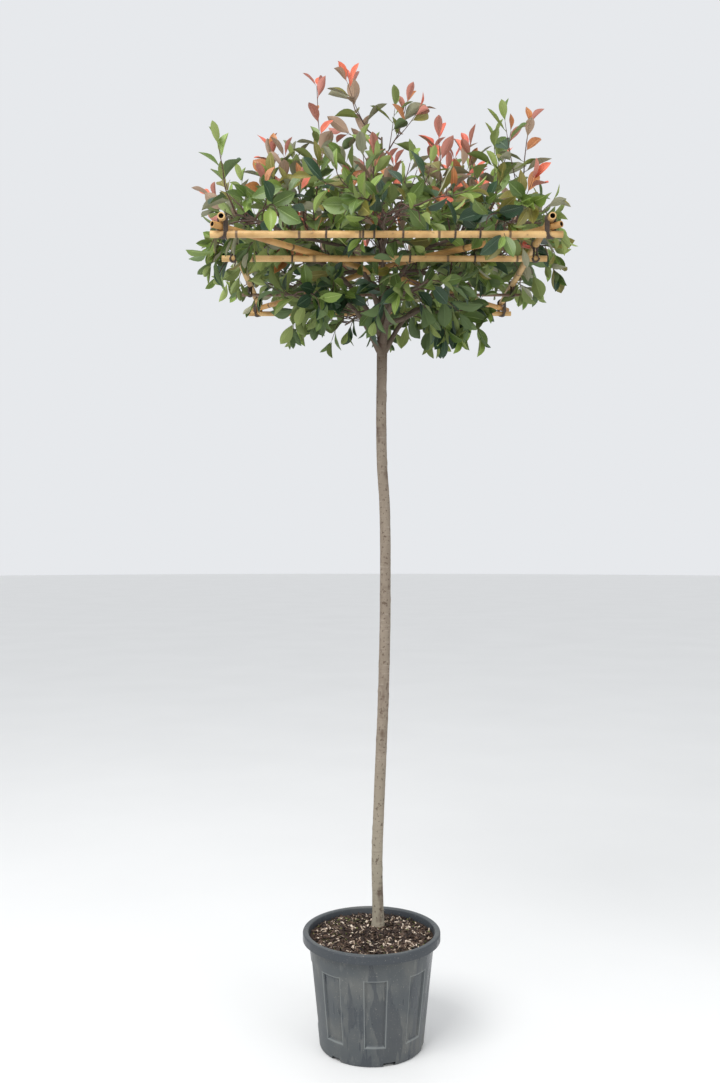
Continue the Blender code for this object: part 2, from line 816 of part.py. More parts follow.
def grow_lower(number, limbs):
    """Foliage under the frame, round the fork: its twigs run out and hang a little."""
    bearing, bough = lower_bearing(number), LOWER_BOUGHS[number]
    mass = Mass(f"foliage_lower_{number + 1}", lower_space(number), limbs, SEED + 30 + number)
    mass.add_stem(mass_stem_places(bearing, LOWER_LEVEL, bough, LOWER_EDGE), BOUGH_TIP_RADIUS)
    first = bough[1] + 2 * BOUGH_TIP_RADIUS
    for twig in range(LOWER_TWIGS):
        reach = first + (LOWER_EDGE - first) * twig / LOWER_TWIGS
        turn = (-1) ** twig * mass.rng.uniform(*LOWER_TWIG_TURN)
        fall = LOWER_DROP * mass.rng.random()
        tip = LEADER + plan(bearing + turn, reach + LOWER_TWIG_REACH, LOWER_LEVEL - fall)
        start = limb_place(bearing, LOWER_LEVEL, bough, reach)
        mass.add_twig(start, tip, LOWER_TWIG_RISE, LOWER_LEAFY_SHARE)
    return mass


def grow_top(tips, limbs):
    """The tuft on the leader, with the crown's tallest shoots."""
    mass = Mass("foliage_top", top_space, limbs, SEED + 50)
    heights = [LEADER_TOP + GAP] + spread(TOP_FLOOR, TOP_STEM_HEIGHT, MASS_STEM_STEPS)
    mass.add_stem([LEADER + Vector((0, 0, z)) for z in heights], STEM_RADII[-1][1])
    for tip in tips:
        if not top_space([tip]):
            continue
        start = min(TOP_STEM_HEIGHT - 2 * TWIG_RADIUS, tip.z - TOP_TWIG_DROP)
        start = max(start, TOP_FLOOR + 2 * TWIG_RADIUS)
        mass.add_twig(LEADER + Vector((0, 0, start)), tip)
    return mass


def swollen(objects):
    """A search tree over the limbs, each swollen by the clearance that foliage keeps to it."""
    bm = bmesh.new()
    for obj in objects:
        bm.from_mesh(obj.data)
    bm.normal_update()
    for vert in bm.verts:
        vert.co += vert.normal * LIMB_CLEARANCE
    tree = BVHTree.FromBMesh(bm)
    bm.free()
    return tree


def main():
    clear_scene()
    home = collection("photinia_standard")
    cutters = collection("cutters")
    plastic = material("pot_plastic", (0.085, 0.100, 0.105), 0.50)
    earth = material("potting_soil", (0.075, 0.050, 0.035), 0.95)
    bark = material("bark", (0.360, 0.290, 0.235), 0.80)
    cane = material("bamboo", (0.600, 0.400, 0.200), 0.45)
    leafage = material("leaves", (0.120, 0.190, 0.045), 0.35)
    make_pot(home, cutters, plastic)
    make_soil(home, earth)
    stem, stem_cutter = make_stem(home, cutters, bark)
    limbs = [stem] + make_frame(home, cane)
    for tier, bearing_of, level, boughs in (
        ("upper", upper_bearing, UPPER_LEVEL, UPPER_BOUGHS),
        ("lower", lower_bearing, LOWER_LEVEL, LOWER_BOUGHS),
    ):
        for number, bough in enumerate(boughs):
            name = f"bough_{tier}_{number + 1}"
            limbs.append(make_bough(name, bearing_of(number), level, bough, stem_cutter, home, bark))
    tree = swollen(limbs)
    tips = crown_tips()
    masses = [grow_upper(number, tips, tree) for number in range(len(UPPER_BOUGHS))]
    masses += [grow_lower(number, tree) for number in range(len(LOWER_BOUGHS))]
    masses.append(grow_top(tips, tree))
    for mass in masses:
        mass.add_leaves()
        mass.fuse(home, leafage)


main()
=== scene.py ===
"""A photinia trained as a flat-headed standard: nursery pot, mulched soil, one clear stem, and a
square crown tied on a bamboo frame. Metres, +Z up, the front of the tree faces -Y."""

import math
import random

import bmesh
import bpy
from mathutils import Matrix, Vector, noise


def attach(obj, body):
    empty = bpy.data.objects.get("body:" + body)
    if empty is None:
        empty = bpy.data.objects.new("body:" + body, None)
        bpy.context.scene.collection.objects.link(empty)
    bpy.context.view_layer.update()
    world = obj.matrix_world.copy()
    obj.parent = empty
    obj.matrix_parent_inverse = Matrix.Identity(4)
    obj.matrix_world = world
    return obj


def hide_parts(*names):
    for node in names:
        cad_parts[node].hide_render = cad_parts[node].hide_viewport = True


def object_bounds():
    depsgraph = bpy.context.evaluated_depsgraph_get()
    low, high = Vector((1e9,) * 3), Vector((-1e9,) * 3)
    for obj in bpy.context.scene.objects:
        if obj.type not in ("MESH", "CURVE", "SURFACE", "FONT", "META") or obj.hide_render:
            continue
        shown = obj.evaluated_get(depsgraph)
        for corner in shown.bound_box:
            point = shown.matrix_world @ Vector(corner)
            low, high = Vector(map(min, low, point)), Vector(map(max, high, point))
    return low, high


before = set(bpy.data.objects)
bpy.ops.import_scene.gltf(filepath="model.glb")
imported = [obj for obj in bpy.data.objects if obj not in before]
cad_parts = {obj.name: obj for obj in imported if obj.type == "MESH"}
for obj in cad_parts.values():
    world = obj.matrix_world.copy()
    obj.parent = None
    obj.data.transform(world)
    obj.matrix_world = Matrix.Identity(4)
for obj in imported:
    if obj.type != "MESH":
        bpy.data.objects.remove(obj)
cad_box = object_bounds()


# Camera: a level lens at eye height, a little left of the stem and well in front of the pot, as the
# picture was taken. The picture is cut a few pixels off the lens's middle, which the shift repeats.

PICTURE_HEIGHT = 1083
FOCAL_PIXELS = 1040.0
HORIZON_LOW = 3.5
CAMERA_PLACE = (-0.041, -3.690, 1.763)
SENSOR = 36.0
FAR_LIMIT = 200.0

eye = bpy.data.cameras.new("camera")
eye.sensor_width = SENSOR
eye.lens = SENSOR * FOCAL_PIXELS / PICTURE_HEIGHT
eye.shift_y = HORIZON_LOW / PICTURE_HEIGHT
eye.clip_end = FAR_LIMIT
camera = bpy.data.objects.new("camera", eye)
camera.location = CAMERA_PLACE
camera.rotation_euler = (math.radians(90.0), 0.0, 0.0)
bpy.context.scene.collection.objects.link(camera)
bpy.context.scene.camera = camera


# Studio: a pale matt floor in a bright even room. One large soft lamp hangs high on the front left,
# and a weaker one on the right keeps the shaded side open.

SKY = (0.95, 0.97, 1.00)
SKY_STRENGTH = 0.84
FLOOR_RADIUS = 60.0
LAMP_AIM = Vector((0.0, 0.0, 1.8))
LAMPS = (
    ("key_lamp", (-2.6, -3.6, 6.4), 3.8, 360.0),
    ("fill_lamp", (3.8, -3.4, 3.4), 3.0, 60.0),
)

bpy.context.scene.view_settings.view_transform = "Standard"
world = bpy.data.worlds.new("room")
world.use_nodes = True
world.node_tree.nodes["Background"].inputs["Color"].default_value = (*SKY, 1.0)
world.node_tree.nodes["Background"].inputs["Strength"].default_value = SKY_STRENGTH
bpy.context.scene.world = world
for name, place, size, watts in LAMPS:
    light = bpy.data.lights.new(name, "AREA")
    light.size = size
    light.energy = watts
    lamp = bpy.data.objects.new(name, light)
    lamp.location = place
    lamp.rotation_euler = (LAMP_AIM - lamp.location).to_track_quat("-Z", "Y").to_euler()
    bpy.context.scene.collection.objects.link(lamp)


def arithmetic(operation, turned=False):
    """An operator on values that adds one Math node, its two inputs turned round if asked."""
    def method(self, other=0.0):
        first, second = (other, self) if turned else (self, other)
        sockets = {0: first, 1: second}
        return self.finish.node("ShaderNodeMath", {"operation": operation}, sockets)
    return method


class Value:
    """A number or colour in a material's nodes. Arithmetic on it adds Math nodes."""

    def __init__(self, finish, socket):
        self.finish = finish
        self.socket = socket

    __add__ = __radd__ = arithmetic("ADD")
    __sub__ = arithmetic("SUBTRACT")
    __rsub__ = arithmetic("SUBTRACT", turned=True)
    __mul__ = __rmul__ = arithmetic("MULTIPLY")
    __mod__ = arithmetic("FLOORED_MODULO")
    __rmod__ = arithmetic("FLOORED_MODULO", turned=True)
    __abs__ = arithmetic("ABSOLUTE")
    most = arithmetic("MAXIMUM")


class Finish:
    """A material: an even gloss set on its shader, and a pattern built in nodes."""

    def __init__(self, name, gloss=0.5):
        self.made = bpy.data.materials.new(name)
        self.made.use_nodes = True
        self.shader = self.made.node_tree.nodes["Principled BSDF"]
        self.shader.inputs["Specular IOR Level"].default_value = gloss

    def feed(self, socket, value):
        if isinstance(value, Value):
            self.made.node_tree.links.new(value.socket, socket)
        elif socket.type == "RGBA":
            socket.default_value = (*value, 1.0)
        else:
            socket.default_value = value

    def node(self, kind, settings, sockets, output=0):
        made = self.made.node_tree.nodes.new(kind)
        for name, setting in settings.items():
            setattr(made, name, setting)
        for name, value in sockets.items():
            self.feed(made.inputs[name], value)
        return Value(self, made.outputs[output])

    def place(self, stretch=(1.0, 1.0, 1.0)):
        where = self.node("ShaderNodeTexCoord", {}, {}, "Object")
        return self.node("ShaderNodeMapping", {}, {"Vector": where, "Scale": stretch})

    def noise(self, scale, detail=2.0, stretch=(1.0, 1.0, 1.0)):
        sockets = {"Vector": self.place(stretch), "Scale": scale, "Detail": detail}
        return self.node("ShaderNodeTexNoise", {}, sockets)

    def measure(self, operation, *vectors):
        sockets = dict(enumerate(vectors))
        return self.node("ShaderNodeVectorMath", {"operation": operation}, sockets, 1)

    def part(self, vector, axis):
        return self.node("ShaderNodeSeparateXYZ", {}, {0: vector}, axis)

    def unwrapped(self, axis):
        return self.part(self.node("ShaderNodeTexCoord", {}, {}, "UV"), axis)

    def attribute(self, name):
        return self.node("ShaderNodeAttribute", {"attribute_name": name}, {}, "Fac")

    def step(self, value, low, high):
        """0 where the value is under low, 1 over high, and smooth between them."""
        sockets = {0: value, 1: low, 2: high}
        return self.node("ShaderNodeMapRange", {"interpolation_type": "SMOOTHSTEP"}, sockets)

    def spots(self, low, high, *pattern):
        """Patches of a noise pattern, from 0 between them to 1 inside."""
        return self.step(self.noise(*pattern), low, high)

    def coats(self, colour, *rows):
        """A ground colour under rows of (how far it covers, colour), laid on in turn."""
        for share, coat in rows:
            sockets = {0: share, 6: colour, 7: coat}
            colour = self.node("ShaderNodeMix", {"data_type": "RGBA"}, sockets, 2)
        return colour

    def paint(self, colour, roughness, relief=None, depth=0.0):
        self.feed(self.shader.inputs["Base Color"], colour)
        self.feed(self.shader.inputs["Roughness"], roughness)
        if relief:
            bump = self.node("ShaderNodeBump", {}, {"Height": relief, "Distance": depth})
            self.feed(self.shader.inputs["Normal"], bump)
        return self.made


def mesh_of(bm, name, *finishes):
    mesh = bpy.data.meshes.new(name)
    bm.to_mesh(mesh)
    bm.free()
    for finish in finishes:
        mesh.materials.append(finish)
    return mesh


def object_of(bm, name, *finishes):
    made = bpy.data.objects.new(name, mesh_of(bm, name, *finishes))
    bpy.context.scene.collection.objects.link(made)
    return made


def floor_finish():
    finish = Finish("pale_floor")
    colour = finish.coats((0.80, 0.80, 0.79), (finish.noise(0.9, 3.0), (0.86, 0.86, 0.85)))
    return finish.paint(colour, 0.55)


floor_bm = bmesh.new()
bmesh.ops.create_circle(floor_bm, cap_ends=True, segments=96, radius=FLOOR_RADIUS)
floor = object_of(floor_bm, "floor", floor_finish())


# Nursery pot: one sheet of slate-grey plastic blown into a mould, with a turned-down rim, eight
# pressed panels and drain notches round its foot. It is scuffed, dusty and streaked by watering.

FRONT = math.radians(-90.0)
POT_HEIGHT = 0.400
POT_SHEET = 0.003
BASE_RADIUS = 0.1835
WALL_FLARE = 0.104
FOOT_ROUND = 0.008
RIM_RADIUS = 0.2435
RIM_DEPTH = 0.030
RIM_ROUND = 0.005
MOUTH_RADIUS = 0.2235
POT_TURNS = 128
ROUND_SEGMENTS = 4
PANELS = 8
PANEL_HALF_ANGLE = math.radians(11.0)
PANEL_BOTTOM = 0.065
PANEL_TOP = 0.305
PANEL_DEPTH = 0.006
STEP_ROUND = 0.0018
STEP_SEGMENTS = 3
STEP_MARGIN = 0.0032
FIRST_PANEL = math.radians(3.0)
DRAINS = 6
DRAIN_WIDTH = 0.041
DRAIN_HEIGHT = 0.013
DRAIN_DEPTH = 0.016
FIRST_DRAIN = math.radians(18.0)
WET_MIDDLE = (0.035, -0.215, 0.190)
NEAR = 0.0005
MERGE = 0.00005


def plan(angle, radius, z=0.0):
    return Vector((radius * math.cos(angle), radius * math.sin(angle), z))


def wall_radius(z):
    return BASE_RADIUS + WALL_FLARE * z


def spun(profile, turns):
    """A profile of (radius, height) points spun round Z, with an edge on the first panel."""
    bm = bmesh.new()
    points = [bm.verts.new((radius, 0.0, z)) for radius, z in profile]
    for pair in zip(points, points[1:]):
        bm.edges.new(pair)
    bmesh.ops.spin(bm, geom=bm.verts[:] + bm.edges[:], cent=(0, 0, 0), axis=(0, 0, 1),
                   angle=math.tau, steps=turns, use_merge=True)
    bmesh.ops.remove_doubles(bm, verts=bm.verts, dist=MERGE)
    bmesh.ops.rotate(bm, verts=bm.verts, matrix=Matrix.Rotation(FIRST_PANEL, 3, "Z"))
    bmesh.ops.recalc_face_normals(bm, faces=bm.faces)
    return bm


def bevel(bm, edges, offset, segments):
    return bmesh.ops.bevel(bm, geom=edges, offset=offset, affect="EDGES", segments=segments,
                           profile=0.5, material=-1)


def rings_at(bm, places):
    """The level edges that start on the rings at the given (radius, height) places."""
    chosen = []
    for edge in bm.edges:
        first, second = [vert.co for vert in edge.verts]
        start = (first.xy.length, first.z)
        level = abs(first.z - second.z) < MERGE
        if level and any(math.dist(start, place) < NEAR for place in places):
            chosen.append(edge)
    return chosen


def outline_of(faces):
    """The edges between the given faces and the rest of the shell."""
    inside = set(faces)
    return {edge for face in faces for edge in face.edges if set(edge.link_faces) - inside}


def press_panels(bm):
    """Presses the panels in, rounds the edges of each step and marks the outer ones for a painted
    highlight.
    """
    painted_edge_highlight = bm.verts.layers.float.new("painted_edge_highlight")
    for number in range(PANELS):
        towards = plan(FRONT + FIRST_PANEL + number * math.tau / PANELS, 1.0)
        chosen = []
        for face in bm.faces:
            centre = face.calc_center_median()
            turned = Vector((*centre.xy, 0.0)).normalized().dot(towards)
            if PANEL_BOTTOM < centre.z < PANEL_TOP and turned > math.cos(PANEL_HALF_ANGLE):
                chosen.append(face)
        inward = -math.copysign(PANEL_DEPTH, chosen[0].normal.dot(towards))
        bmesh.ops.inset_region(bm, faces=chosen, thickness=STEP_MARGIN)
        steps = outline_of(chosen)
        bmesh.ops.inset_region(bm, faces=chosen, thickness=PANEL_DEPTH, depth=inward)
        steps |= outline_of(chosen)
        bmesh.ops.inset_region(bm, faces=chosen, thickness=STEP_MARGIN)
        ordered = [edge for edge in bm.edges if edge in steps]
        # The outer verts of each rounded step are marked for the painted highlight.
        for vert in bevel(bm, ordered, STEP_ROUND, STEP_SEGMENTS)["verts"]:
            if vert.co.xy.length > wall_radius(vert.co.z) - PANEL_DEPTH / 2:
                vert[painted_edge_highlight] = 1.0


def cut_drains(bm):
    """Opens the notches round the foot, before the sheet gets its thickness."""
    for number in range(DRAINS):
        towards = plan(FRONT + FIRST_DRAIN + number * math.tau / DRAINS, 1.0)
        chosen = []
        for face in bm.faces:
            centre = face.calc_center_median()
            low = centre.z < DRAIN_HEIGHT and centre.dot(towards) > BASE_RADIUS - DRAIN_DEPTH
            if low and abs(centre.cross(towards).z) < DRAIN_WIDTH / 2:
                chosen.append(face)
        bmesh.ops.delete(bm, geom=chosen, context="FACES")


def pot_finish():
    finish = Finish("slate_plastic", 0.45)
    here = finish.place()
    height = finish.part(here, 2)
    radius = finish.measure("LENGTH", finish.place((1, 1, 0)))
    apart = finish.measure("DISTANCE", here, WET_MIDDLE)
    streaks = finish.noise(30.0, 3.0, (1.0, 1.0, 0.16))
    runs = finish.step(streaks + finish.noise(9.0, 2.0) * 0.30 - apart * 1.30, 0.520, 0.560)
    wet = runs.most(finish.step(streaks * finish.noise(3.4, 1.0), 0.290, 0.320))
    dust = finish.spots(0.42, 0.66, 7.0, 5.0)
    specks = finish.spots(0.70, 0.76, 260.0, 1.0)
    scuffs = finish.spots(0.57, 0.72, 44.0, 4.0, (1.0, 1.0, 0.35))
    # Painted shade: the outer band of the rim and the inside of the mouth above the soil are painted
    # darker and bluer.
    brim_shade = finish.step(radius, RIM_RADIUS - 0.0040, RIM_RADIUS - 0.0020)
    mouth = finish.step(radius, MOUTH_RADIUS + 0.0012, MOUTH_RADIUS)
    mouth = mouth * finish.step(height, 0.36, 0.37)
    # Painted highlight: a thin light line along the outer edge of each pressed panel.
    painted_edge_highlight = finish.step(finish.attribute("painted_edge_highlight"), 0.35, 0.95)
    colour = finish.coats(
        (0.066, 0.075, 0.080),
        (dust * 0.75, (0.122, 0.125, 0.118)),
        (scuffs * 0.30, (0.200, 0.202, 0.190)),
        (wet * 0.66, (0.036, 0.043, 0.052)),
        (painted_edge_highlight * 0.45, (0.250, 0.270, 0.265)),
        (brim_shade.most(mouth) * 0.70, (0.028, 0.034, 0.043)),
        (specks * 0.55, (0.330, 0.310, 0.270)),
    )
    relief = finish.noise(420.0, 2.0) * 0.15 + finish.noise(11.0, 2.0)
    return finish.paint(colour, 0.48 - wet * 0.22 + dust * 0.10, relief, 0.0016)


def pot_shell():
    half = POT_SHEET / 2
    skirt = RIM_RADIUS - half
    mouth = MOUTH_RADIUS + half
    top = POT_HEIGHT - half
    neck = POT_HEIGHT - RIM_DEPTH - RIM_ROUND
    profile = [
        (skirt, POT_HEIGHT - RIM_DEPTH),
        (skirt, top),
        (mouth, top),
        (wall_radius(neck) - half, neck),
        (wall_radius(PANEL_TOP) - half, PANEL_TOP),
        (wall_radius(PANEL_BOTTOM) - half, PANEL_BOTTOM),
        (wall_radius(DRAIN_HEIGHT) - half, DRAIN_HEIGHT),
        (wall_radius(FOOT_ROUND) - half, half),
        (BASE_RADIUS - DRAIN_DEPTH, half),
        (0.0, half),
    ]
    bm = spun(profile, POT_TURNS)
    bevel(bm, rings_at(bm, profile[1:3]), RIM_ROUND, ROUND_SEGMENTS)
    bevel(bm, rings_at(bm, [profile[7]]), FOOT_ROUND * 0.7, ROUND_SEGMENTS)
    press_panels(bm)
    cut_drains(bm)
    return bm


def baked(obj):
    """Applies an object's modifiers to its mesh."""
    graph = bpy.context.evaluated_depsgraph_get()
    mesh = bpy.data.meshes.new_from_object(obj.evaluated_get(graph))
    obj.modifiers.clear()
    obj.data = mesh


def smooth(obj, angle_deg=40):
    obj.data.shade_smooth()
    obj.data.set_sharp_from_angle(angle=math.radians(angle_deg))


def dress(piece, slot, *nodes):
    """Rides a finished piece on the tree, in place of its nodes. Its slot is not used."""
    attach(piece, "root")
    if nodes:
        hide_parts(*nodes)


pot = object_of(pot_shell(), "nursery_pot", pot_finish())
wall = pot.modifiers.new("sheet", "SOLIDIFY")
wall.thickness = POT_SHEET
wall.offset = 0.0
baked(pot)
smooth(pot)
dress(pot, "pot_plastic", "pot")


# Soil: damp dark potting mix with a little moss, rough and crumbly on top. It fills the pot to just
# under the rim and is mounded a little towards the stem.

SOIL_TOP = 0.388
SOIL_EDGE = 0.376
SOIL_FLAT_RADIUS = 0.112
SOIL_INSET = 0.0004
SOIL_RINGS = 34
SOIL_CLEAR = 0.004
CRUMB_HEIGHT = 0.0030
CRUMBS = ((1.0, 120.0, 120.0), (0.6, 310.0, 310.0))
STEM_FOOT = Vector((0.024, 0.070, 0.0))


def soil_rim_radius(z):
    return wall_radius(z) - POT_SHEET - SOIL_INSET


def soil_height(radius):
    share = max(0.0, (radius - SOIL_FLAT_RADIUS) / (soil_rim_radius(SOIL_EDGE) - SOIL_FLAT_RADIUS))
    return SOIL_TOP - (SOIL_TOP - SOIL_EDGE) * share


def ripples(place, rows):
    """Relief from rows of (height, scale across, scale along) of a noise pattern."""
    lift = 0.0
    for rise, across, along in rows:
        lift += rise * noise.noise(Vector((place.x * across, place.y * across, place.z * along)))
    return lift


def soil_finish():
    finish = Finish("potting_mix", 0.25)
    crumbs = finish.noise(190.0, 4.0)
    patches = finish.noise(16.0, 2.0)
    moss = finish.spots(0.60, 0.70, 9.0, 3.0)
    colour = finish.coats(
        (0.012, 0.008, 0.006),
        (crumbs, (0.082, 0.052, 0.036)),
        (patches * 0.4, (0.050, 0.030, 0.020)),
        (moss * 0.45, (0.060, 0.075, 0.020)),
    )
    return finish.paint(colour, 0.90, crumbs, 0.004)


def soil_plug():
    edge = soil_rim_radius(SOIL_EDGE)
    reaches = [edge * ring / SOIL_RINGS for ring in range(SOIL_RINGS + 1)]
    top = [(reach, soil_height(reach)) for reach in reaches]
    inner = POT_SHEET + PANEL_DEPTH + SOIL_INSET
    floor_height = POT_SHEET + SOIL_INSET
    shoulder = PANEL_TOP + PANEL_DEPTH * 2
    side = [
        (soil_rim_radius(shoulder), shoulder),
        (wall_radius(PANEL_TOP) - inner, PANEL_TOP),
        (wall_radius(FOOT_ROUND) - inner, FOOT_ROUND * 2),
        (BASE_RADIUS - FOOT_ROUND - inner, floor_height),
        (0.0, floor_height),
    ]
    bm = spun(top + side, POT_TURNS)
    for vert in bm.verts:
        if vert.co.z > SOIL_EDGE - SOIL_INSET and vert.co.xy.length < edge - SOIL_CLEAR:
            vert.co.z += CRUMB_HEIGHT * ripples(vert.co, CRUMBS)
    return bm


soil = object_of(soil_plug(), "soil_mound", soil_finish())
smooth(soil, 60)
dress(soil, "potting_soil", "soil")


# Mulch: shredded bark and chipped wood strewn loose over the soil. Most chips are dark, some show
# pale fresh wood, and a few carry moss.

MULCH = (
    ("mulch_dark", 760, (0.017, 0.008, 0.0030), (0.014, 0.009, 0.008), (0.070, 0.045, 0.034)),
    ("mulch_brown", 430, (0.018, 0.007, 0.0028), (0.050, 0.032, 0.022), (0.165, 0.108, 0.076)),
    ("mulch_pale", 330, (0.015, 0.0055, 0.0024), (0.340, 0.250, 0.180), (0.800, 0.690, 0.560)),
    ("mulch_green", 110, (0.011, 0.006, 0.0030), (0.060, 0.075, 0.018), (0.170, 0.180, 0.055)),
)
CHIP_SHAPES = 6
CHIP_TILT = 0.42
CHIP_BREAK = 0.13
CHIP_SIZES = (0.5, 1.35)
CHIP_LIFT = (0.0005, 0.0045)
CHIP_INSET = 0.010
STEM_CLEAR = 0.030


def chip_blank(rng, size, finish):
    """A splinter: a slab with a few cross edges, its corners broken at random."""
    bm = bmesh.new()
    bmesh.ops.create_cube(bm, size=1.0)
    bmesh.ops.subdivide_edges(bm, edges=bm.edges[:], cuts=1)
    for vert in bm.verts:
        taper = 1.0 - 0.5 * abs(vert.co.x) * 2 * rng.random()
        jitter = Vector([rng.uniform(-CHIP_BREAK, CHIP_BREAK) for _ in range(3)])
        vert.co = Vector((vert.co.x, vert.co.y * taper, vert.co.z * taper)) + jitter
    bmesh.ops.scale(bm, verts=bm.verts, vec=size)
    return mesh_of(bm, "chip", finish)


def chip_finish(name, dark, pale):
    finish = Finish(name, 0.30)
    fibres = finish.noise(210.0, 3.0)
    lots = finish.noise(70.0, 0.0)
    colour = finish.coats(dark, (finish.step(fibres * lots, 0.10, 0.42), pale))
    return finish.paint(colour, 0.80, fibres, 0.0008)


def placed(mesh, matrix):
    copy = bpy.data.objects.new("copy", mesh)
    copy.matrix_world = matrix
    bpy.context.scene.collection.objects.link(copy)
    return copy


def joined(name, copies):
    """One piece made of many placed copies, its place in its mesh."""
    first = copies[0]
    first.data = first.data.copy()
    bpy.context.view_layer.update()
    with bpy.context.temp_override(active_object=first, selected_editable_objects=copies):
        bpy.ops.object.join()
    first.data.transform(first.matrix_world)
    first.matrix_world = Matrix.Identity(4)
    first.name = first.data.name = name
    return first


rng = random.Random(5)
for name, count, size, dark, pale in MULCH:
    finish = chip_finish(name, dark, pale)
    blanks = [chip_blank(rng, size, finish) for _ in range(CHIP_SHAPES)]
    chips = []
    while len(chips) < count:
        angle = rng.uniform(0.0, math.tau)
        radius = (soil_rim_radius(SOIL_EDGE) - CHIP_INSET) * math.sqrt(rng.random())
        spot = plan(angle, radius, soil_height(radius) + rng.uniform(*CHIP_LIFT))
        if (Vector((spot.x, spot.y, 0.0)) - STEM_FOOT).length < STEM_CLEAR:
            continue
        turn = Matrix.Rotation(rng.uniform(0.0, math.tau), 4, "Z")
        tip = Matrix.Rotation(rng.gauss(0.0, CHIP_TILT), 4, "Y")
        roll = Matrix.Rotation(rng.gauss(0.0, CHIP_TILT), 4, "X")
        scale = Matrix.Diagonal((*[rng.uniform(*CHIP_SIZES) for _ in range(3)], 1.0))
        matrix = Matrix.Translation(spot) @ turn @ tip @ roll @ scale
        chips.append(placed(rng.choice(blanks), matrix))
    dress(joined(name, chips), "potting_soil")


# Stem: one clear trunk with smooth pale grey-brown bark, flared at the soil, swelling where old side
# shoots were cut off, and scalier near the fork. From there up, the bark of the stem and the boughs
# is painted darker, partly for the scaly bark and partly as painted shade under the crown. It ends in
# a leader inside the crown.

FRAME_X = 0.038
FRAME_Y = -0.060
FRAME_Z = 2.688
GAP = 0.0003
SIDE_OFFSET = 0.488
BRACE_RADIUS = 0.0105
BARS = {
    "front": (-0.534, 0.0110),
    "fore": (-0.268, 0.0105),
    "aft": (0.239, 0.0060),
    "back": (0.534, 0.0100),
}
CORNER = Vector((SIDE_OFFSET, BARS["back"][0], 0.0))
CORNER_TURN = math.atan2(CORNER.y, CORNER.x)
LEADER_RADIUS = 0.0140
LEADER_SETBACK = (LEADER_RADIUS + BRACE_RADIUS + GAP) / math.cos(CORNER_TURN)
LEADER = Vector((FRAME_X, FRAME_Y + LEADER_SETBACK, 0.0))
LEADER_TOP = 2.860
UPRIGHT_FROM = 2.560
STEM_ROUTE = (
    (SOIL_TOP, 0.024, 0.070),
    (0.440, 0.024, 0.070),
    (0.630, 0.021, 0.065),
    (0.920, 0.031, 0.055),
    (1.220, 0.043, 0.045),
    (1.570, 0.049, 0.030),
    (1.890, 0.047, 0.018),
    (2.060, 0.037, 0.008),
    (2.230, 0.034, -0.004),
    (2.400, 0.036, -0.016),
    (UPRIGHT_FROM, LEADER.x, LEADER.y),
    (LEADER_TOP, LEADER.x, LEADER.y),
)
STEM_BOTTOM = 0.380
STEM_RADII = (
    (STEM_BOTTOM, 0.0262),
    (0.395, 0.0240),
    (0.415, 0.0218),
    (0.440, 0.0207),
    (0.500, 0.0200),
    (1.500, 0.0195),
    (2.350, 0.0182),
    (2.500, 0.0188),
    (2.650, LEADER_RADIUS),
    (2.760, LEADER_RADIUS),
    (LEADER_TOP, 0.0085),
)
STEM_RINGS = 330
STEM_SIDES = 32
STEM_RIPPLES = (
    (0.0011, 26.0, 5.0),
    (0.0005, 110.0, 38.0),
    (0.0004, 18.0, 210.0),
)
STEM_KNOTS = 34
KNOT_HEIGHTS = (0.55, 2.42)
KNOT_SIZES = (0.006, 0.012)
KNOT_OUT = 0.020
KNOT_SWELL = 0.0024
KNOT_PIT = 0.0042
PIT_NARROWING = 6.0
SCALY_AND_SHADED_FROM = 2.30


def between(table, value):
    """Reads a table of (place, size) rows at any place, in straight runs."""
    for (low, first), (high, second) in zip(table, table[1:]):
        if value <= high:
            share = max(0.0, (value - low) / (high - low))
            return first + (second - first) * share
    return table[-1][1]


def stem_point(z):
    """The stem's middle line: one smooth curve through its route."""
    route = STEM_ROUTE
    index = next((i for i in range(len(route) - 1) if z <= route[i + 1][0]), len(route) - 2)
    before = route[max(0, index - 1)]
    after = route[min(len(route) - 1, index + 2)]
    (low, *here), (high, *there) = route[index], route[index + 1]
    share = (z - low) / (high - low)
    square, cube = share**2, share**3
    place = []
    for axis, (start, end) in enumerate(zip(here, there), 1):
        leave = (end - before[axis]) / (high - before[0]) * (high - low)
        arrive = (after[axis] - start) / (after[0] - low) * (high - low)
        curve = start * (2 * cube - 3 * square + 1) + leave * (cube - 2 * square + share)
        place.append(curve + end * (3 * square - 2 * cube) + arrive * (cube - square))
    return Vector((*place, z))


def spread(first, last, steps):
    return [first + (last - first) * step / steps for step in range(steps + 1)]


def stations(places):
    """Each place with the direction along the limb and one across it, carried without twist."""
    across = (places[1] - places[0]).orthogonal()
    made = []
    for index, place in enumerate(places):
        along = (places[min(index + 1, len(places) - 1)] - places[max(index - 1, 0)]).normalized()
        across = (across - along * across.dot(along)).normalized()
        made.append((place, along, across))
    return made


def around(along, across, angle):
    return across * math.cos(angle) + along.cross(across) * math.sin(angle)


def sweep(places, radii, sides, relief=None):
    """A closed limb: a ring extruded from place to place, its bark raised by the relief."""
    bm = bmesh.new()
    rise = bm.verts.layers.float.new("rise")
    ring = bmesh.ops.create_circle(bm, cap_ends=True, radius=1.0, segments=sides)["verts"]
    face = ring[0].link_faces[0]
    for index, ((place, along, across), radius) in enumerate(zip(stations(places), radii)):
        if index:
            grown = bmesh.ops.extrude_face_region(bm, geom=[face])["geom"]
            if index > 1:
                bmesh.ops.delete(bm, geom=[face], context="FACES_ONLY")
            face = next(item for item in grown if isinstance(item, bmesh.types.BMFace))
        for number, vert in enumerate(face.verts):
            outward = around(along, across, math.tau * number / sides)
            lift = relief(place + outward * radius) if relief else 0.0
            vert.co = place + outward * (radius + lift)
            vert[rise] = lift
    bmesh.ops.recalc_face_normals(bm, faces=bm.faces)
    return bm


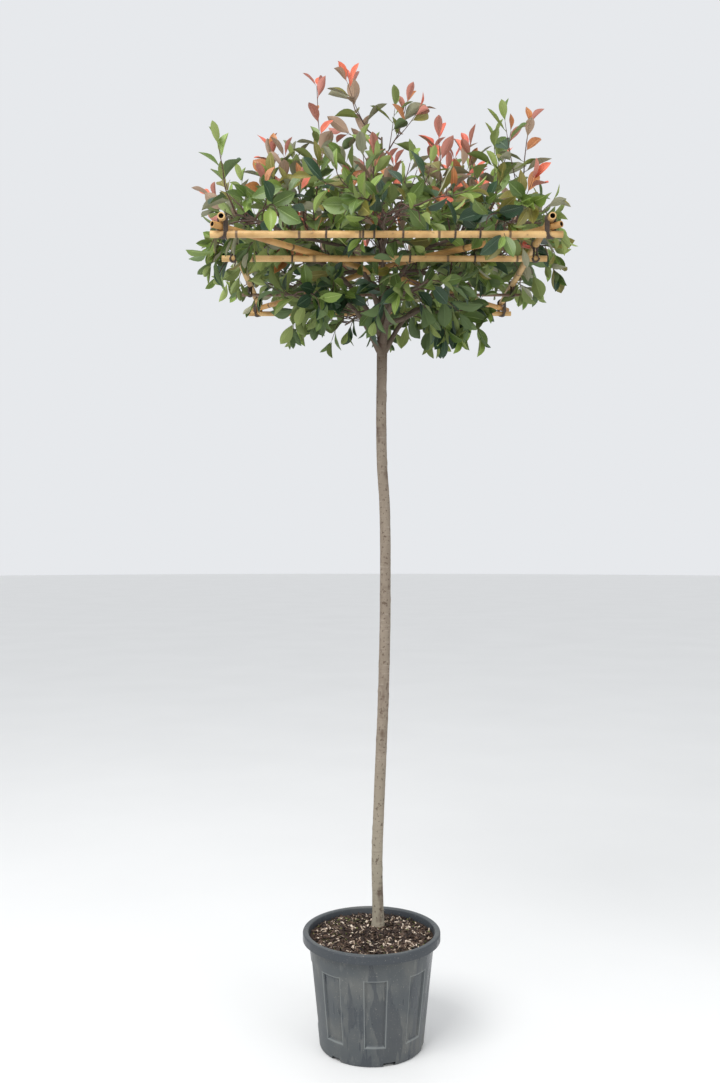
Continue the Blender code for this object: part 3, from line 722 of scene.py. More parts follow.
def bark_finish():
    finish = Finish("smooth_bark", 0.25)
    height = finish.part(finish.place(), 2)
    patches = finish.noise(34.0, 3.0, (1.0, 1.0, 0.30))
    fine = finish.noise(260.0, 3.0, (1.0, 1.0, 0.25))
    specks = finish.spots(0.63, 0.69, 120.0, 1.0, (1.0, 1.0, 0.7))
    bands = finish.spots(0.60, 0.70, 90.0, 2.0, (0.25, 0.25, 1.6))
    rings = finish.spots(0.60, 0.66, 150.0, 2.0, (0.04, 0.04, 1.0))
    pits = finish.step(finish.attribute("rise"), -0.0002, -0.0011)
    # Painted darker from the fork up, on the stem and the boughs alike: partly scalier bark, partly
    # painted shade under the crown.
    scaly_and_shaded = finish.step(height, SCALY_AND_SHADED_FROM - 0.10, SCALY_AND_SHADED_FROM + 0.22)
    aged = finish.step(height + patches * 0.25, 1.35, 0.55)
    colour = finish.coats(
        (0.160, 0.125, 0.093),
        (patches, (0.330, 0.278, 0.220)),
        (fine * 0.35, (0.225, 0.180, 0.138)),
        (bands * 0.35, (0.400, 0.345, 0.285)),
        (aged * 0.55, (0.370, 0.345, 0.262)),
        (rings * 0.26, (0.160, 0.115, 0.085)),
        (specks * 0.75, (0.085, 0.055, 0.038)),
        (scaly_and_shaded * 0.70, (0.084, 0.056, 0.041)),
        (pits * 0.75, (0.070, 0.036, 0.024)),
    )
    return finish.paint(colour, 0.78, fine * 0.5 + patches * 0.3 + bands * 0.3, 0.0022)


rng = random.Random(23)
knots = []
for number in range(STEM_KNOTS):
    middle = stem_point(rng.uniform(*KNOT_HEIGHTS))
    knots.append((middle + plan(rng.uniform(0.0, math.tau), KNOT_OUT), rng.uniform(*KNOT_SIZES)))


def stem_relief(place):
    """Long shallow ripples, fine rings, and a swelling with a pit for each cut side shoot."""
    lift = ripples(place, STEM_RIPPLES)
    for knot, size in knots:
        if abs(place.z - knot.z) < size * 3:
            apart = (place - knot).length / size
            lift += KNOT_SWELL * math.exp(-apart * apart)
            lift -= KNOT_PIT * math.exp(-apart * apart * PIT_NARROWING)
    return lift


heights = spread(STEM_BOTTOM, LEADER_TOP, STEM_RINGS)
middles = [stem_point(max(z, SOIL_TOP)) - Vector((0, 0, max(SOIL_TOP - z, 0.0))) for z in heights]
radii = [between(STEM_RADII, z) for z in heights]
bark = bark_finish()
stem = object_of(sweep(middles, radii, STEM_SIDES, stem_relief), "clear_stem", bark)
smooth(stem, 60)
dress(stem, "bark", "stem")


# Boughs: twelve limbs that leave the stem under the frame. Eight arch up through it and out along
# the axes and the braces, four stay under it round the fork. They sway a little as they grow.

UPPER_LEVEL = FRAME_Z + 0.080
UPPER_BOUGHS = (
    (2.550, 0.350, 2.4),
    (2.622, 0.210, 1.0),
    (2.572, 0.250, 1.0),
    (2.640, 0.200, 1.0),
    (2.490, 0.260, 1.0),
    (2.560, 0.220, 1.0),
    (2.610, 0.190, 1.0),
    (2.585, 0.230, 1.0),
)
LOWER_LEVEL = 2.610
LOWER_BOUGHS = (
    (2.440, 0.150, 1.3),
    (2.475, 0.120, 1.0),
    (2.435, 0.150, 1.3),
    (2.465, 0.120, 1.0),
)
LOWER_TURN = math.radians(22.5)
BOUGH_ROOT_RADIUS = 0.0095
BOUGH_TIP_RADIUS = 0.0060
BOUGH_END_RADIUS = 0.0030
BOUGH_SIDES = 12
BOUGH_SWAY = 0.011
BOUGH_ROOT = 0.004
BOUGH_RIPPLES = ((0.0007, 90.0, 90.0), (0.0004, 240.0, 240.0))
SWAY_SCALES = (3.2, 7.3, 9.1)
BOUGH_STEPS = 36
BOUGH_FLARE = 0.55
BOUGH_FLARE_REACH = 0.045
LEADER_SHOOT_RADIUS = 0.0080
LEADER_SHOOT_STEPS = 12
UPPER_EDGE = 0.505
UPPER_CORNER = 0.670
LOWER_EDGE = 0.360
TOP_STEM_HEIGHT = 3.200


def upper_bearing(number):
    """Four upper boughs run along the axes, and four beside the braces to the corners."""
    quarter, odd = divmod(number, 2)
    corner = CORNER_TURN if quarter % 2 == 0 else math.pi / 2 - CORNER_TURN
    return quarter * math.pi / 2 + odd * corner


def limb_place(bearing, level, bough, reach):
    """A place on a limb: it rises from the stem to its level at the bough's reach, then runs on."""
    start, tip, late = bough
    share = min(1.0, reach / tip) ** late
    height = start + (level - start) * (1 - (1 - share) ** 2)
    return LEADER + plan(bearing, reach, height)


def swaying(places, seed, sway):
    """Bends a limb gently from side to side, but leaves its root in place."""
    along, apart, turned = SWAY_SCALES
    made = []
    for index, place in enumerate(places):
        share = index / (len(places) - 1)
        ease = min(1.0, share * 4.0) * sway
        spots = [Vector((share * along, seed * apart, axis * turned)) for axis in (1, 2, 3)]
        made.append(place + Vector([noise.noise(spot) for spot in spots]) * ease)
    return made


def on_route(places, share):
    """The place at a share of the way along a limb, from 0 at its root to 1."""
    step = max(0.0, min(0.9999, share)) * (len(places) - 1)
    return places[int(step)].lerp(places[int(step) + 1], step - int(step))


def on_limb(number, reach):
    return on_route(routes[number], (reach - BOUGH_ROOT) / (limbs[number][3] - BOUGH_ROOT))


def bough_relief(place):
    return ripples(place, BOUGH_RIPPLES)


def bough_radius(reach, tip, edge):
    if reach < tip:
        flare = 1.0 + BOUGH_FLARE * max(0.0, 1.0 - reach / BOUGH_FLARE_REACH)
        return (BOUGH_ROOT_RADIUS + (BOUGH_TIP_RADIUS - BOUGH_ROOT_RADIUS) * reach / tip) * flare
    return BOUGH_TIP_RADIUS + (BOUGH_END_RADIUS - BOUGH_TIP_RADIUS) * (reach - tip) / (edge - tip)


def nodes_named(*kinds):
    """The frame's nodes whose names start with the given words, in order."""
    return [node for kind in kinds for node in sorted(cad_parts) if node.startswith(kind)]


upper_limbs = []
for number, bough in enumerate(UPPER_BOUGHS):
    edge = UPPER_CORNER if number % 2 else UPPER_EDGE
    upper_limbs.append((upper_bearing(number), UPPER_LEVEL, bough, edge))
lower_limbs = []
for number, bough in enumerate(LOWER_BOUGHS):
    lower_limbs.append((LOWER_TURN + number * math.pi / 2, LOWER_LEVEL, bough, LOWER_EDGE))
limbs = upper_limbs + lower_limbs
wood = []
routes = []
for number, (bearing, level, bough, edge) in enumerate(limbs):
    reaches = spread(BOUGH_ROOT, edge, BOUGH_STEPS)
    places = [limb_place(bearing, level, bough, reach) for reach in reaches]
    routes.append(swaying(places, number, BOUGH_SWAY))
    radii = [bough_radius(reach, bough[1], edge) for reach in reaches]
    wood.append(object_of(sweep(routes[-1], radii, BOUGH_SIDES, bough_relief), "bough", bark))
leader_heights = spread(LEADER_TOP - 0.020, TOP_STEM_HEIGHT, LEADER_SHOOT_STEPS)
leader_places = swaying([LEADER + Vector((0, 0, z)) for z in leader_heights], 31, BOUGH_SWAY)
radii = spread(LEADER_SHOOT_RADIUS, BOUGH_END_RADIUS, LEADER_SHOOT_STEPS)
wood.append(object_of(sweep(leader_places, radii, BOUGH_SIDES, bough_relief), "bough", bark))
boughs = joined("boughs", wood)
smooth(boughs, 60)
dress(boughs, "bark", *nodes_named("bough_upper", "bough_lower"))


# Bamboo frame: split-free canes, tan and glossy, with a ring at each node and open hollow ends.
# Cross bars lie underneath, two long braces on them, and side bars on top.

BAR_LENGTH = 1.050
SIDE_LENGTH = 1.140
SIDE_RADIUS = 0.0115
BRACE_OVERHANG = 0.040
ARCH_END = 0.060
BRACE_Z = FRAME_Z + BARS["front"][1] + BRACE_RADIUS + GAP
SIDE_Z = BRACE_Z + BRACE_RADIUS + SIDE_RADIUS + GAP
CANE_SIDES = 24
CANE_STEP = 0.006
CANE_SHELL = 0.30
BORE_DEPTH = 0.022
BORE_REACH = 0.03
BORE_WIDTH = 1.05
STEM_GUARD = (2.36, 0.016)
FIRST_NODE = (0.03, 0.16)
NODE_SPACING = (0.17, 0.24)
NODE_SWELL = (0.075, 0.007)
NODE_GROOVE = (0.12, 0.0028)
NODE_STAIN = (0.0006, 0.0035)
CANE_START = 0.97
CANE_TAPER = 0.05


# Painted shade: the inside of each open cane end is painted dark brown, near black, standing in for
# the shade down the hollow.
def bore_shade_finish():
    finish = Finish("cane_bore_shade", 0.2)
    fibres = finish.noise(240.0, 2.0)
    colour = finish.coats((0.020, 0.013, 0.009), (fibres, (0.070, 0.045, 0.028)))
    return finish.paint(colour, 0.85, fibres, 0.0006)


def cane_finish(name, dark, pale):
    finish = Finish(name)
    stains = finish.noise(13.0, 3.0)
    fibres = finish.noise(160.0, 2.0)
    colour = finish.coats(
        dark,
        (finish.step(stains, 0.34, 0.66), pale),
        (fibres * 0.25, (0.300, 0.190, 0.090)),
        (finish.step(finish.attribute("rise"), -0.00005, -0.0004), (0.130, 0.075, 0.035)),
        (finish.spots(0.64, 0.72, 60.0, 2.0) * 0.5, (0.160, 0.100, 0.050)),
    )
    return finish.paint(colour, 0.36 + stains * 0.2, fibres, 0.0006)


def hump(apart, height, width):
    """A rounded swelling: its full height in the middle, and next to nothing past two widths."""
    return height * math.exp(-((apart / width) ** 2))


def cane(start, end, radius, rng, arch):
    """One hollow cane, swollen and grooved at its nodes, a little thinner towards its end."""
    length = (end - start).length
    nodes = []
    reach = rng.uniform(*FIRST_NODE)
    while reach < length:
        nodes.append(reach)
        reach += rng.uniform(*NODE_SPACING)
    places = []
    radii = []
    for share in spread(0.0, 1.0, int(length / CANE_STEP)):
        bent = min(1.0, max(0.0, (share - ARCH_END) / (1 - 2 * ARCH_END)))
        rise = arch * math.sin(math.pi * bent) ** 2
        places.append(start.lerp(end, share) + Vector((0.0, 0.0, rise)))
        apart = min(abs(share * length - node) for node in nodes)
        swell = hump(apart, *NODE_SWELL) - hump(apart, *NODE_GROOVE)
        radii.append(radius * (CANE_START + swell - CANE_TAPER * share))
    bm = sweep(places, radii, CANE_SIDES)
    groove = bm.verts.layers.float["rise"]
    for vert in bm.verts:
        share = (vert.co - start).dot(end - start) / length**2
        apart = min(abs(share * length - node) for node in nodes)
        vert[groove] = -hump(apart, *NODE_STAIN)
    for cap in [face for face in bm.faces if len(face.verts) == CANE_SIDES]:
        bmesh.ops.inset_region(bm, faces=[cap], thickness=radius * CANE_SHELL)
        inward = -cap.normal.copy() * BORE_DEPTH
        bored = bmesh.ops.extrude_face_region(bm, geom=[cap])["geom"]
        moved = [item for item in bored if isinstance(item, bmesh.types.BMVert)]
        bmesh.ops.translate(bm, verts=moved, vec=inward)
        bmesh.ops.delete(bm, geom=[cap], context="FACES_ONLY")
    run = (end - start).normalized()
    for face in bm.faces:
        centre = face.calc_center_median() - start
        along = centre.dot(run)
        off_axis = (centre - run * along).length
        at_end = not BORE_REACH < along < length - BORE_REACH
        if at_end and off_axis < radius * (BORE_WIDTH - CANE_SHELL):
            face.material_index = 1
    return bm


def set_cane(name, middle, half, radius, finish, arch=0.0):
    """Dresses one cane and keeps its line, so that leaves grow clear of it."""
    first, last = middle - half, middle + half
    bm = cane(first, last, radius, rng, arch)
    pole = object_of(bm, f"bamboo_{name}", finish, bore_shade)
    smooth(pole, 50)
    dress(pole, "bamboo", f"frame_{name}")
    poles.append((first, last, radius))


def bar_height(radius):
    return BRACE_Z - BRACE_RADIUS - radius - GAP


poles = [(stem_point(STEM_GUARD[0]), stem_point(LEADER_TOP), STEM_GUARD[1])]
bore_shade = bore_shade_finish()
rng = random.Random(41)
tan = cane_finish("bamboo_tan", (0.430, 0.240, 0.075), (0.700, 0.455, 0.190))
ochre = cane_finish("bamboo_ochre", (0.370, 0.180, 0.048), (0.590, 0.330, 0.110))
brown = cane_finish("bamboo_brown", (0.110, 0.062, 0.040), (0.240, 0.150, 0.100))
for name, (offset, radius) in BARS.items():
    middle = Vector((FRAME_X, FRAME_Y + offset, bar_height(radius)))
    finish = brown if name == "aft" else tan
    set_cane(f"bar_{name}", middle, Vector((BAR_LENGTH / 2, 0, 0)), radius, finish)
for name, turn, arch in (("under", 1, 0.0), ("over", -1, 2 * BRACE_RADIUS + GAP)):
    half = plan(CORNER_TURN * turn, CORNER.length + BRACE_OVERHANG)
    set_cane(f"brace_{name}", Vector((FRAME_X, FRAME_Y, BRACE_Z)), half, BRACE_RADIUS, ochre, arch)
for name, side in (("left", -1), ("right", 1)):
    middle = Vector((FRAME_X + side * SIDE_OFFSET, FRAME_Y, SIDE_Z))
    set_cane(f"side_{name}", middle, Vector((0, SIDE_LENGTH / 2, 0)), SIDE_RADIUS, tan)


# Lashings: dark brown wire wound tight round each crossing of the canes, drawn in between them, its
# ends twisted off. Thinner wire ties hold single shoots to the cross bars.

WIRE_RADIUS = 0.0014
TIE_RADIUS = 0.0009
WIRE_SIDES = 8
WIRE_STEPS = 24
DIAGONAL = 1.32
WAIST = 0.0045
LOOSE = 0.08
CORNER_TURNS = 6
CROSS_TURNS = 3
TIE_TURNS = 3
LASHING_END = 0.018
TIE_END = 0.014
LASHING_PITCH = 2.1
TIE_PITCH = 2.2
END_RISE = Vector((0, 0, 0.002))
END_SHARES = (0.3, 0.65, 1.0)
BAR_TIES = {
    "front": (-0.142, -0.032, 0.001, 0.087, 0.242, 0.316),
    "fore": (-0.260, 0.120, 0.330),
    "aft": (-0.180, 0.210),
    "back": (-0.310, -0.090, 0.150, 0.370),
}


def wire_finish():
    finish = Finish("brown_wire")
    wear = finish.noise(180.0, 2.0)
    colour = finish.coats((0.020, 0.013, 0.010), (wear, (0.110, 0.072, 0.050)))
    return finish.paint(colour, 0.50, wear, 0.0005)


def twisted_end(place, rng, reach):
    tail = Vector((rng.uniform(-1, 1), rng.uniform(-1, 0.3), rng.uniform(0.2, 1.0))).normalized()
    return [place + tail * reach * share + END_RISE * share for share in END_SHARES]


def loop_width(height, high, low, waist):
    """How far a loop round two canes stands out from the crossing, at some height on it."""
    for centre, radius in (high, low):
        past = height - centre
        if (past > 0) == (centre > (high[0] + low[0]) / 2):
            return math.sqrt(max(0.0, radius**2 - past**2))
    share = abs(height - (high[0] + low[0]) / 2) / ((high[0] - low[0]) / 2)
    return waist + (min(high[1], low[1]) - waist) * share**2


def lashing(crossing, high, low, across, waist, turns):
    """A wire wound round two crossed canes and drawn in at the waist between them."""
    drift = Vector((-across.y, across.x, 0.0)) * WIRE_RADIUS * LASHING_PITCH
    top, bottom = high[0] + high[1], low[0] - low[1]
    places = []
    for step in range(turns * WIRE_STEPS + 1):
        angle = math.tau * step / WIRE_STEPS
        height = (top + bottom) / 2 + math.cos(angle) * (top - bottom) / 2
        width = math.copysign(loop_width(height, high, low, waist) * DIAGONAL, math.sin(angle))
        slide = drift * ((step / WIRE_STEPS - turns / 2) + rng.uniform(-LOOSE, LOOSE))
        places.append(Vector((crossing.x, crossing.y, height)) + across * width + slide)
    ties.append(wound(places + twisted_end(places[-1], rng, LASHING_END), WIRE_RADIUS))


def tie(centre, radius):
    """A thin wire wound round one bar, with a twisted end on top."""
    places = []
    for step in range(TIE_TURNS * WIRE_STEPS + 1):
        angle = math.tau * step / WIRE_STEPS
        ring = Vector((0.0, math.sin(angle), math.cos(angle))) * (radius + TIE_RADIUS)
        slide = (step / WIRE_STEPS - TIE_TURNS / 2) * TIE_RADIUS * TIE_PITCH
        places.append(centre + ring + Vector((slide, 0.0, 0.0)))
    ties.append(wound(places + twisted_end(places[-1], rng, TIE_END), TIE_RADIUS))


def wound(places, radius):
    return object_of(sweep(places, [radius] * len(places), WIRE_SIDES), "tie", wire)


wire = wire_finish()
ties = []
rng = random.Random(59)
high = (SIDE_Z, SIDE_RADIUS + WIRE_RADIUS)
for name, (offset, radius) in BARS.items():
    low = (bar_height(radius), radius + WIRE_RADIUS)
    for side in (-1, 1):
        crossing = Vector((FRAME_X + side * SIDE_OFFSET, FRAME_Y + offset, 0.0))
        if name in ("front", "back"):
            across = Vector((1.0, -side * math.copysign(1.0, offset), 0.0)).normalized()
            lashing(crossing, high, low, across, BRACE_RADIUS + WIRE_RADIUS, CORNER_TURNS)
            continue
        for way in (-1, 1):
            lashing(crossing, high, low, Vector((1.0, way, 0.0)).normalized(), WAIST, CROSS_TURNS)
    for x in BAR_TIES[name]:
        tie(Vector((x, FRAME_Y + offset, bar_height(radius))), radius)
lashings = joined("wire_lashings", ties)
smooth(lashings, 60)
dress(lashings, "bamboo")


# Foliage: leafy shoots that stand on the boughs and lean out of the square crown, some long and
# red-tipped over the rest. Glossy leathery leaves spiral up each shoot on short stalks.

SEED = 11
CROWN_HALF_WIDTH = 0.568
CROWN_HALF_DEPTH = 0.600
SQUARENESS = 4.0
HEAD_TOP = 3.040
HEAD_FALL = 0.190
TIP_SPACING = 0.134
ROW_SPACING = 0.121
TIP_JITTER = 0.28
TIP_LIFT = (-0.110, 0.070)
TALL_SHARE = 0.22
TALL_LIFT = (0.100, 0.260)
LEADING_SHOOTS = (
    (-0.463, -0.580, 3.000),
    (-0.344, -0.190, 3.130),
    (-0.190, 0.000, 3.430),
    (-0.080, 0.000, 3.455),
    (-0.040, 0.040, 3.280),
    (0.000, -0.290, 3.080),
    (0.117, 0.000, 3.377),
    (0.215, 0.080, 3.230),
    (0.310, -0.100, 3.150),
    (0.380, 0.170, 3.200),
    (0.450, -0.300, 3.150),
    (0.480, -0.500, 3.100),
)
HANGING_TWIGS = 22
HANGING_JITTER = 0.3
HANGING_LOW = 2.690
HANGING_HIGH = 2.790
TOP_FLOOR = 2.885
TOP_RADIUS = 0.155


def out_along(place, bearing):
    return (place - LEADER).dot(plan(bearing, 1.0))


def octagon(place):
    return max(out_along(place, bearing) for bearing, *_ in upper_limbs)


def in_top(place):
    return place.z > TOP_FLOOR and octagon(place) < TOP_RADIUS


def nearest_bough(place):
    """The upper bough whose slice of the crown a place lies in."""
    turn = math.atan2(place.y - LEADER.y, place.x - LEADER.x)
    gaps = [abs((turn - bearing + math.pi) % math.tau - math.pi) for bearing, *_ in upper_limbs]
    return gaps.index(min(gaps))


def crown_share(x, y):
    """0 in the middle of the crown and 1 on its rounded square edge."""
    across = abs(x - FRAME_X) / CROWN_HALF_WIDTH
    deep = abs(y - FRAME_Y) / CROWN_HALF_DEPTH
    return (across**SQUARENESS + deep**SQUARENESS) ** (1 / SQUARENESS)


def spread_tips():
    """Tips in jittered rows over the whole crown, with some tall ones away from the front."""
    rng = random.Random(SEED)
    rows = math.ceil(CROWN_HALF_DEPTH / TIP_SPACING) + 1
    tips = []
    for row in range(-rows, rows + 1):
        for column in range(-rows, rows + 1):
            x = FRAME_X + (column + row % 2 / 2 + rng.uniform(-TIP_JITTER, TIP_JITTER)) * TIP_SPACING
            y = FRAME_Y + (row + rng.uniform(-TIP_JITTER, TIP_JITTER)) * ROW_SPACING
            lift = rng.uniform(*TIP_LIFT)
            if rng.random() < TALL_SHARE and y > LEADER.y:
                lift += rng.uniform(*TALL_LIFT)
            share = crown_share(x, y)
            nearest = min(math.hypot(x - shoot[0], y - shoot[1]) for shoot in LEADING_SHOOTS)
            if share < 1 and nearest > TIP_SPACING / 2:
                tips.append(Vector((x, y, HEAD_TOP - HEAD_FALL * share * share + lift)))
    return tips


def hanging_tips():
    """Tips round the crown's edge that hang past the frame."""
    rng = random.Random(SEED + 1)
    tips = []
    for number in range(HANGING_TWIGS):
        angle = (number + rng.uniform(-HANGING_JITTER, HANGING_JITTER)) * math.tau / HANGING_TWIGS
        edge = plan(angle, 1.0)
        edge /= crown_share(FRAME_X + edge.x, FRAME_Y + edge.y)
        tips.append(Vector((FRAME_X, FRAME_Y, rng.uniform(HANGING_LOW, HANGING_HIGH))) + edge)
    return tips


# Leaf blanks: one closed leaf of a few dozen faces in each of several bends, on a short stalk, and
# widest past its middle. Its face is dealt a fresh colour by age and place, its back is grey-green.

LEAF_OUTLINE = (
    (0.000, 0.045),
    (0.125, 0.060),
    (0.250, 0.420),
    (0.375, 0.760),
    (0.500, 0.950),
    (0.625, 1.000),
    (0.750, 0.900),
    (0.875, 0.580),
    (1.000, 0.020),
)
LEAF_ROWS = 8
LEAF_COLUMNS = 4
LEAF_THICKNESS = 0.012
LEAF_FOLD = 0.42
LEAF_WAVES = (11.0, 1.3)
LEAF_BENDS = (
    (0.55, 0.10, 0.010, 0.15),
    (0.35, 0.20, 0.016, 0.60),
    (0.75, 0.06, 0.008, 0.85),
    (0.25, 0.28, 0.014, 0.35),
    (0.95, 0.14, 0.012, 1.00),
    (0.45, -0.05, 0.018, 0.00),
)
LEAF_TINTS = {
    "deep": ((0.010, 0.034, 0.016), (0.034, 0.078, 0.030), (0.120, 0.178, 0.070), 0.34),
    "green": ((0.056, 0.104, 0.018), (0.150, 0.222, 0.044), (0.215, 0.275, 0.088), 0.36),
    "lime": ((0.110, 0.190, 0.026), (0.270, 0.370, 0.075), (0.300, 0.370, 0.115), 0.40),
    "olive": ((0.100, 0.098, 0.014), (0.250, 0.215, 0.036), (0.330, 0.330, 0.220), 0.38),
    "bronze": ((0.270, 0.085, 0.024), (0.520, 0.215, 0.065), (0.460, 0.320, 0.230), 0.38),
    "flame": ((0.480, 0.062, 0.040), (0.740, 0.200, 0.105), (0.560, 0.230, 0.180), 0.40),
}


def tinted(colour, share, lift=0.0):
    return [min(1.0, channel * share + lift) for channel in colour]


def leaf_finish(name, dark, pale, rough):
    """A glossy leaf: pale midrib and side veins pressed in, and a tone that drifts over the crown."""
    finish = Finish(name)
    off = abs(finish.unwrapped(0) - 0.5)
    midrib = finish.step(off, 0.050, 0.018)
    slant = (finish.unwrapped(1) * 13.0 - off * 7.0) % 1.0
    veins = finish.step(abs(slant - 0.5), 0.075, 0.0) * finish.step(off, 0.49, 0.30)
    drift = finish.noise(17.0, 2.0)
    colour = finish.coats(
        dark,
        (finish.attribute("shade") * 0.55 + drift * 0.55, pale),
        (veins * 0.28, tinted(pale, 1.35, 0.06)),
        (midrib * 0.75, tinted(pale, 1.35, 0.06)),
        (finish.spots(0.60, 0.75, 75.0, 3.0) * 0.18, tinted(dark, 0.6)),
    )
    relief = midrib * -0.9 - veins * 0.5 + drift * 0.6
    return finish.paint(colour, rough + drift * 0.12, relief, 0.0010)


def leaf_back_finish(name, back):
    finish = Finish(name, 0.35)
    midrib = finish.step(abs(finish.unwrapped(0) - 0.5), 0.060, 0.020)
    drift = finish.noise(23.0, 2.0)
    colour = finish.coats(back, (drift * 0.6, tinted(back, 0.72)), (midrib * 0.5, tinted(back, 1.3)))
    return finish.paint(colour, 0.58, midrib, 0.0008)


def leaf_blank(fold, curl, wave, shade):
    """A leaf of length and width 1 along +Y from its stalk, its face and back joined at the rim."""
    bm = bmesh.new()
    bm.loops.layers.uv.new("leaf")
    tone = bm.verts.layers.float.new("shade")
    bmesh.ops.create_grid(bm, x_segments=LEAF_COLUMNS, y_segments=LEAF_ROWS, size=0.5, calc_uvs=True)
    rim = {vert for edge in bm.edges if edge.is_boundary for vert in edge.verts}
    inside = [number for number, vert in enumerate(bm.verts) if vert not in rim]
    for vert in bm.verts:
        side, share = vert.co.x * 2, vert.co.y + 0.5
        out = side * between(LEAF_OUTLINE, share) / 2
        ripple = wave * math.sin(share * LEAF_WAVES[0] + side * LEAF_WAVES[1]) * side**2
        folded = fold * min(1.0, share * 3.0) * abs(out) * LEAF_FOLD
        vert.co = (out, share, -curl * share**2 + folded + ripple)
        vert[tone] = shade
    copied = bmesh.ops.duplicate(bm, geom=bm.verts[:] + bm.edges[:] + bm.faces[:])
    back = [item for item in copied["geom"] if isinstance(item, bmesh.types.BMFace)]
    bmesh.ops.reverse_faces(bm, faces=back)
    for face in back:
        face.material_index = 1
    bm.verts.ensure_lookup_table()
    count = len(bm.verts) // 2
    for index in inside:
        bm.verts[count + index].co.z -= LEAF_THICKNESS
    bmesh.ops.remove_doubles(bm, verts=bm.verts, dist=MERGE)
    for face in bm.faces:
        face.smooth = True
    for edge in bm.edges:
        if len({face.material_index for face in edge.link_faces}) > 1:
            edge.smooth = False
    return mesh_of(bm, "leaf")


blanks = [leaf_blank(*bend) for bend in LEAF_BENDS]
leaf_kinds = {}
for tint, (dark, pale, back, rough) in LEAF_TINTS.items():
    faces = leaf_finish(f"leaf_{tint}", dark, pale, rough)
    backs = leaf_back_finish(f"leaf_back_{tint}", back)
    leaf_kinds[tint] = []
    for blank in blanks:
        mesh = blank.copy()
        mesh.materials.append(faces)
        mesh.materials.append(backs)
        leaf_kinds[tint].append(mesh)


# Shoots: each twig of the crown grows from its bough to its own tip, throws finer side twigs, and
# sets its leaves in a spiral, upright and red where they are young, level and green below.

LEAF_GAP = 0.026
LEAF_LENGTH = (0.080, 0.108)
LEAF_WIDTH = 0.46
LEAF_WIDTHS = (0.85, 1.12)
LENGTH_BY_AGE = ((0.0, 0.74), (0.25, 1.0))
WIDTH_BY_AGE = ((0.0, 0.78), (0.25, 1.0))
LEAF_LEAN = 20
LEAF_OPENING = 46
OPENING_RATE = 1.8
LEAF_LEAN_DRIFT = (-8, 14)
LEAF_ROLL = 0.32
LEAF_SPOTS = (0.35, 0.65, 1.0)
LEAF_TRIES = 3
LEAF_CLEARANCE = 0.003
TINT_LOW = 2.45
TINT_RISE = 0.75
TIP_AGE = 0.22
RED_AGE = 0.45
YOUNG_AGE = 0.25
YOUNG_HEIGHT = 0.35
LOW_HEIGHT = 0.30
MIDDLE_HEIGHT = 0.60
TINTS = {
    "tip": (("flame", 0.55), ("bronze", 1.0)),
    "red": (("bronze", 0.40), ("olive", 1.0)),
    "young": (("lime", 0.45), ("olive", 0.65), ("green", 1.0)),
    "low": (("deep", 0.44), ("green", 0.84), ("lime", 1.0)),
    "middle": (("deep", 0.26), ("green", 0.70), ("olive", 0.84), ("lime", 1.0)),
    "high": (("green", 0.42), ("olive", 0.70), ("deep", 0.80), ("lime", 1.0)),
}
APEX = 0.045
GOLDEN_TURN = math.radians(137.5)
LEAST_LEAVES = 5
RIPE_LEAVES = 8
TWIG_RADIUS = 0.0030
TWIG_SIDES = 6
TWIG_SETBACK = 0.075
TWIG_BEND = 0.70
TWIG_RISE = 0.035
TWIG_STEPS = 9
TWIG_SWAY = 0.012
TWIG_TAPER = 0.45
TOP_TWIG_DROP = 0.200
TOP_TWIG_CLEAR = 0.010
UPPER_TWIG_FROM = 0.6
UPPER_TWIG_CLEAR = 0.006
LOWER_TWIGS = 7
LOWER_DROP = 0.140
LOWER_TWIG_TURN = (math.radians(12.0), math.radians(42.0))
LOWER_TWIG_REACH = 0.040
LOWER_TWIG_RISE = 0.015
LOWER_TWIG_START = 0.012
SIDE_TWIGS = 2
SIDE_TWIG_LENGTH = (0.10, 0.19)
SIDE_TWIG_LEAN = (30, 55)
SIDE_TWIG_BEND = 0.6
SIDE_TWIG_RISE = 0.25
SIDE_TWIG_STEPS = 5
SIDE_TWIG_LOW = 2.47
SIDE_TWIG_DROP = 0.01
SIDE_TWIG_SPILL = 1.02
SIDE_TWIG_RADIUS = 0.6
SIDE_TWIG_REACH = 5
SIDE_TWIG_LEAFY = 0.88
SIDE_TWIG_RED = 0.7
TWIG_KINDS = {
    "top": (TWIG_RISE, TWIG_RADIUS, 0.85, 0.15, SIDE_TWIGS, 1.0),
    "upper": (TWIG_RISE, TWIG_RADIUS, 0.84, 0.15, SIDE_TWIGS, 1.0),
    "lower": (LOWER_TWIG_RISE, TWIG_RADIUS * 0.8, 0.85, 0.30, 0, 0.95),
    "lower_right": (LOWER_TWIG_RISE, TWIG_RADIUS * 0.8, 0.85, 0.30, 0, 1.15),
    "inner": (0.010, TWIG_RADIUS * 0.7, 0.9, 0.25, 0, 0.95),
}
RED_SHARE = 0.42
RED_HEIGHT = 2.85
INNER_FROM = 0.100
INNER_GAP = 0.052
INNER_LENGTH = (0.090, 0.170)
INNER_TURN = (0.50, 1.45)
INNER_SHARE = 0.62
INNER_EDGE = 0.98
INNER_RISE = (-0.085, 0.060)
LOWER_INNER_RISE = (-0.020, 0.060)
FORK_CLEAR = (0.115, 2.600)
BAR_CLEAR = 0.035

leaves = {tint: [] for tint in LEAF_TINTS}
twigs = []
grow = random.Random(97)
low_corner, high_corner = Vector(cad_box[0]), Vector(cad_box[1])


def bezier(start, bend, tip, share):
    return start * (1 - share) ** 2 + bend * 2 * share * (1 - share) + tip * share**2


def twig_finish():
    finish = Finish("young_bark", 0.35)
    fine = finish.noise(300.0, 2.0)
    colour = finish.coats(
        (0.035, 0.017, 0.015),
        (finish.noise(30.0, 2.0), (0.120, 0.056, 0.042)),
        (fine * 0.3, (0.180, 0.120, 0.085)),
    )
    return finish.paint(colour, 0.55, fine, 0.0006)


young_bark = twig_finish()


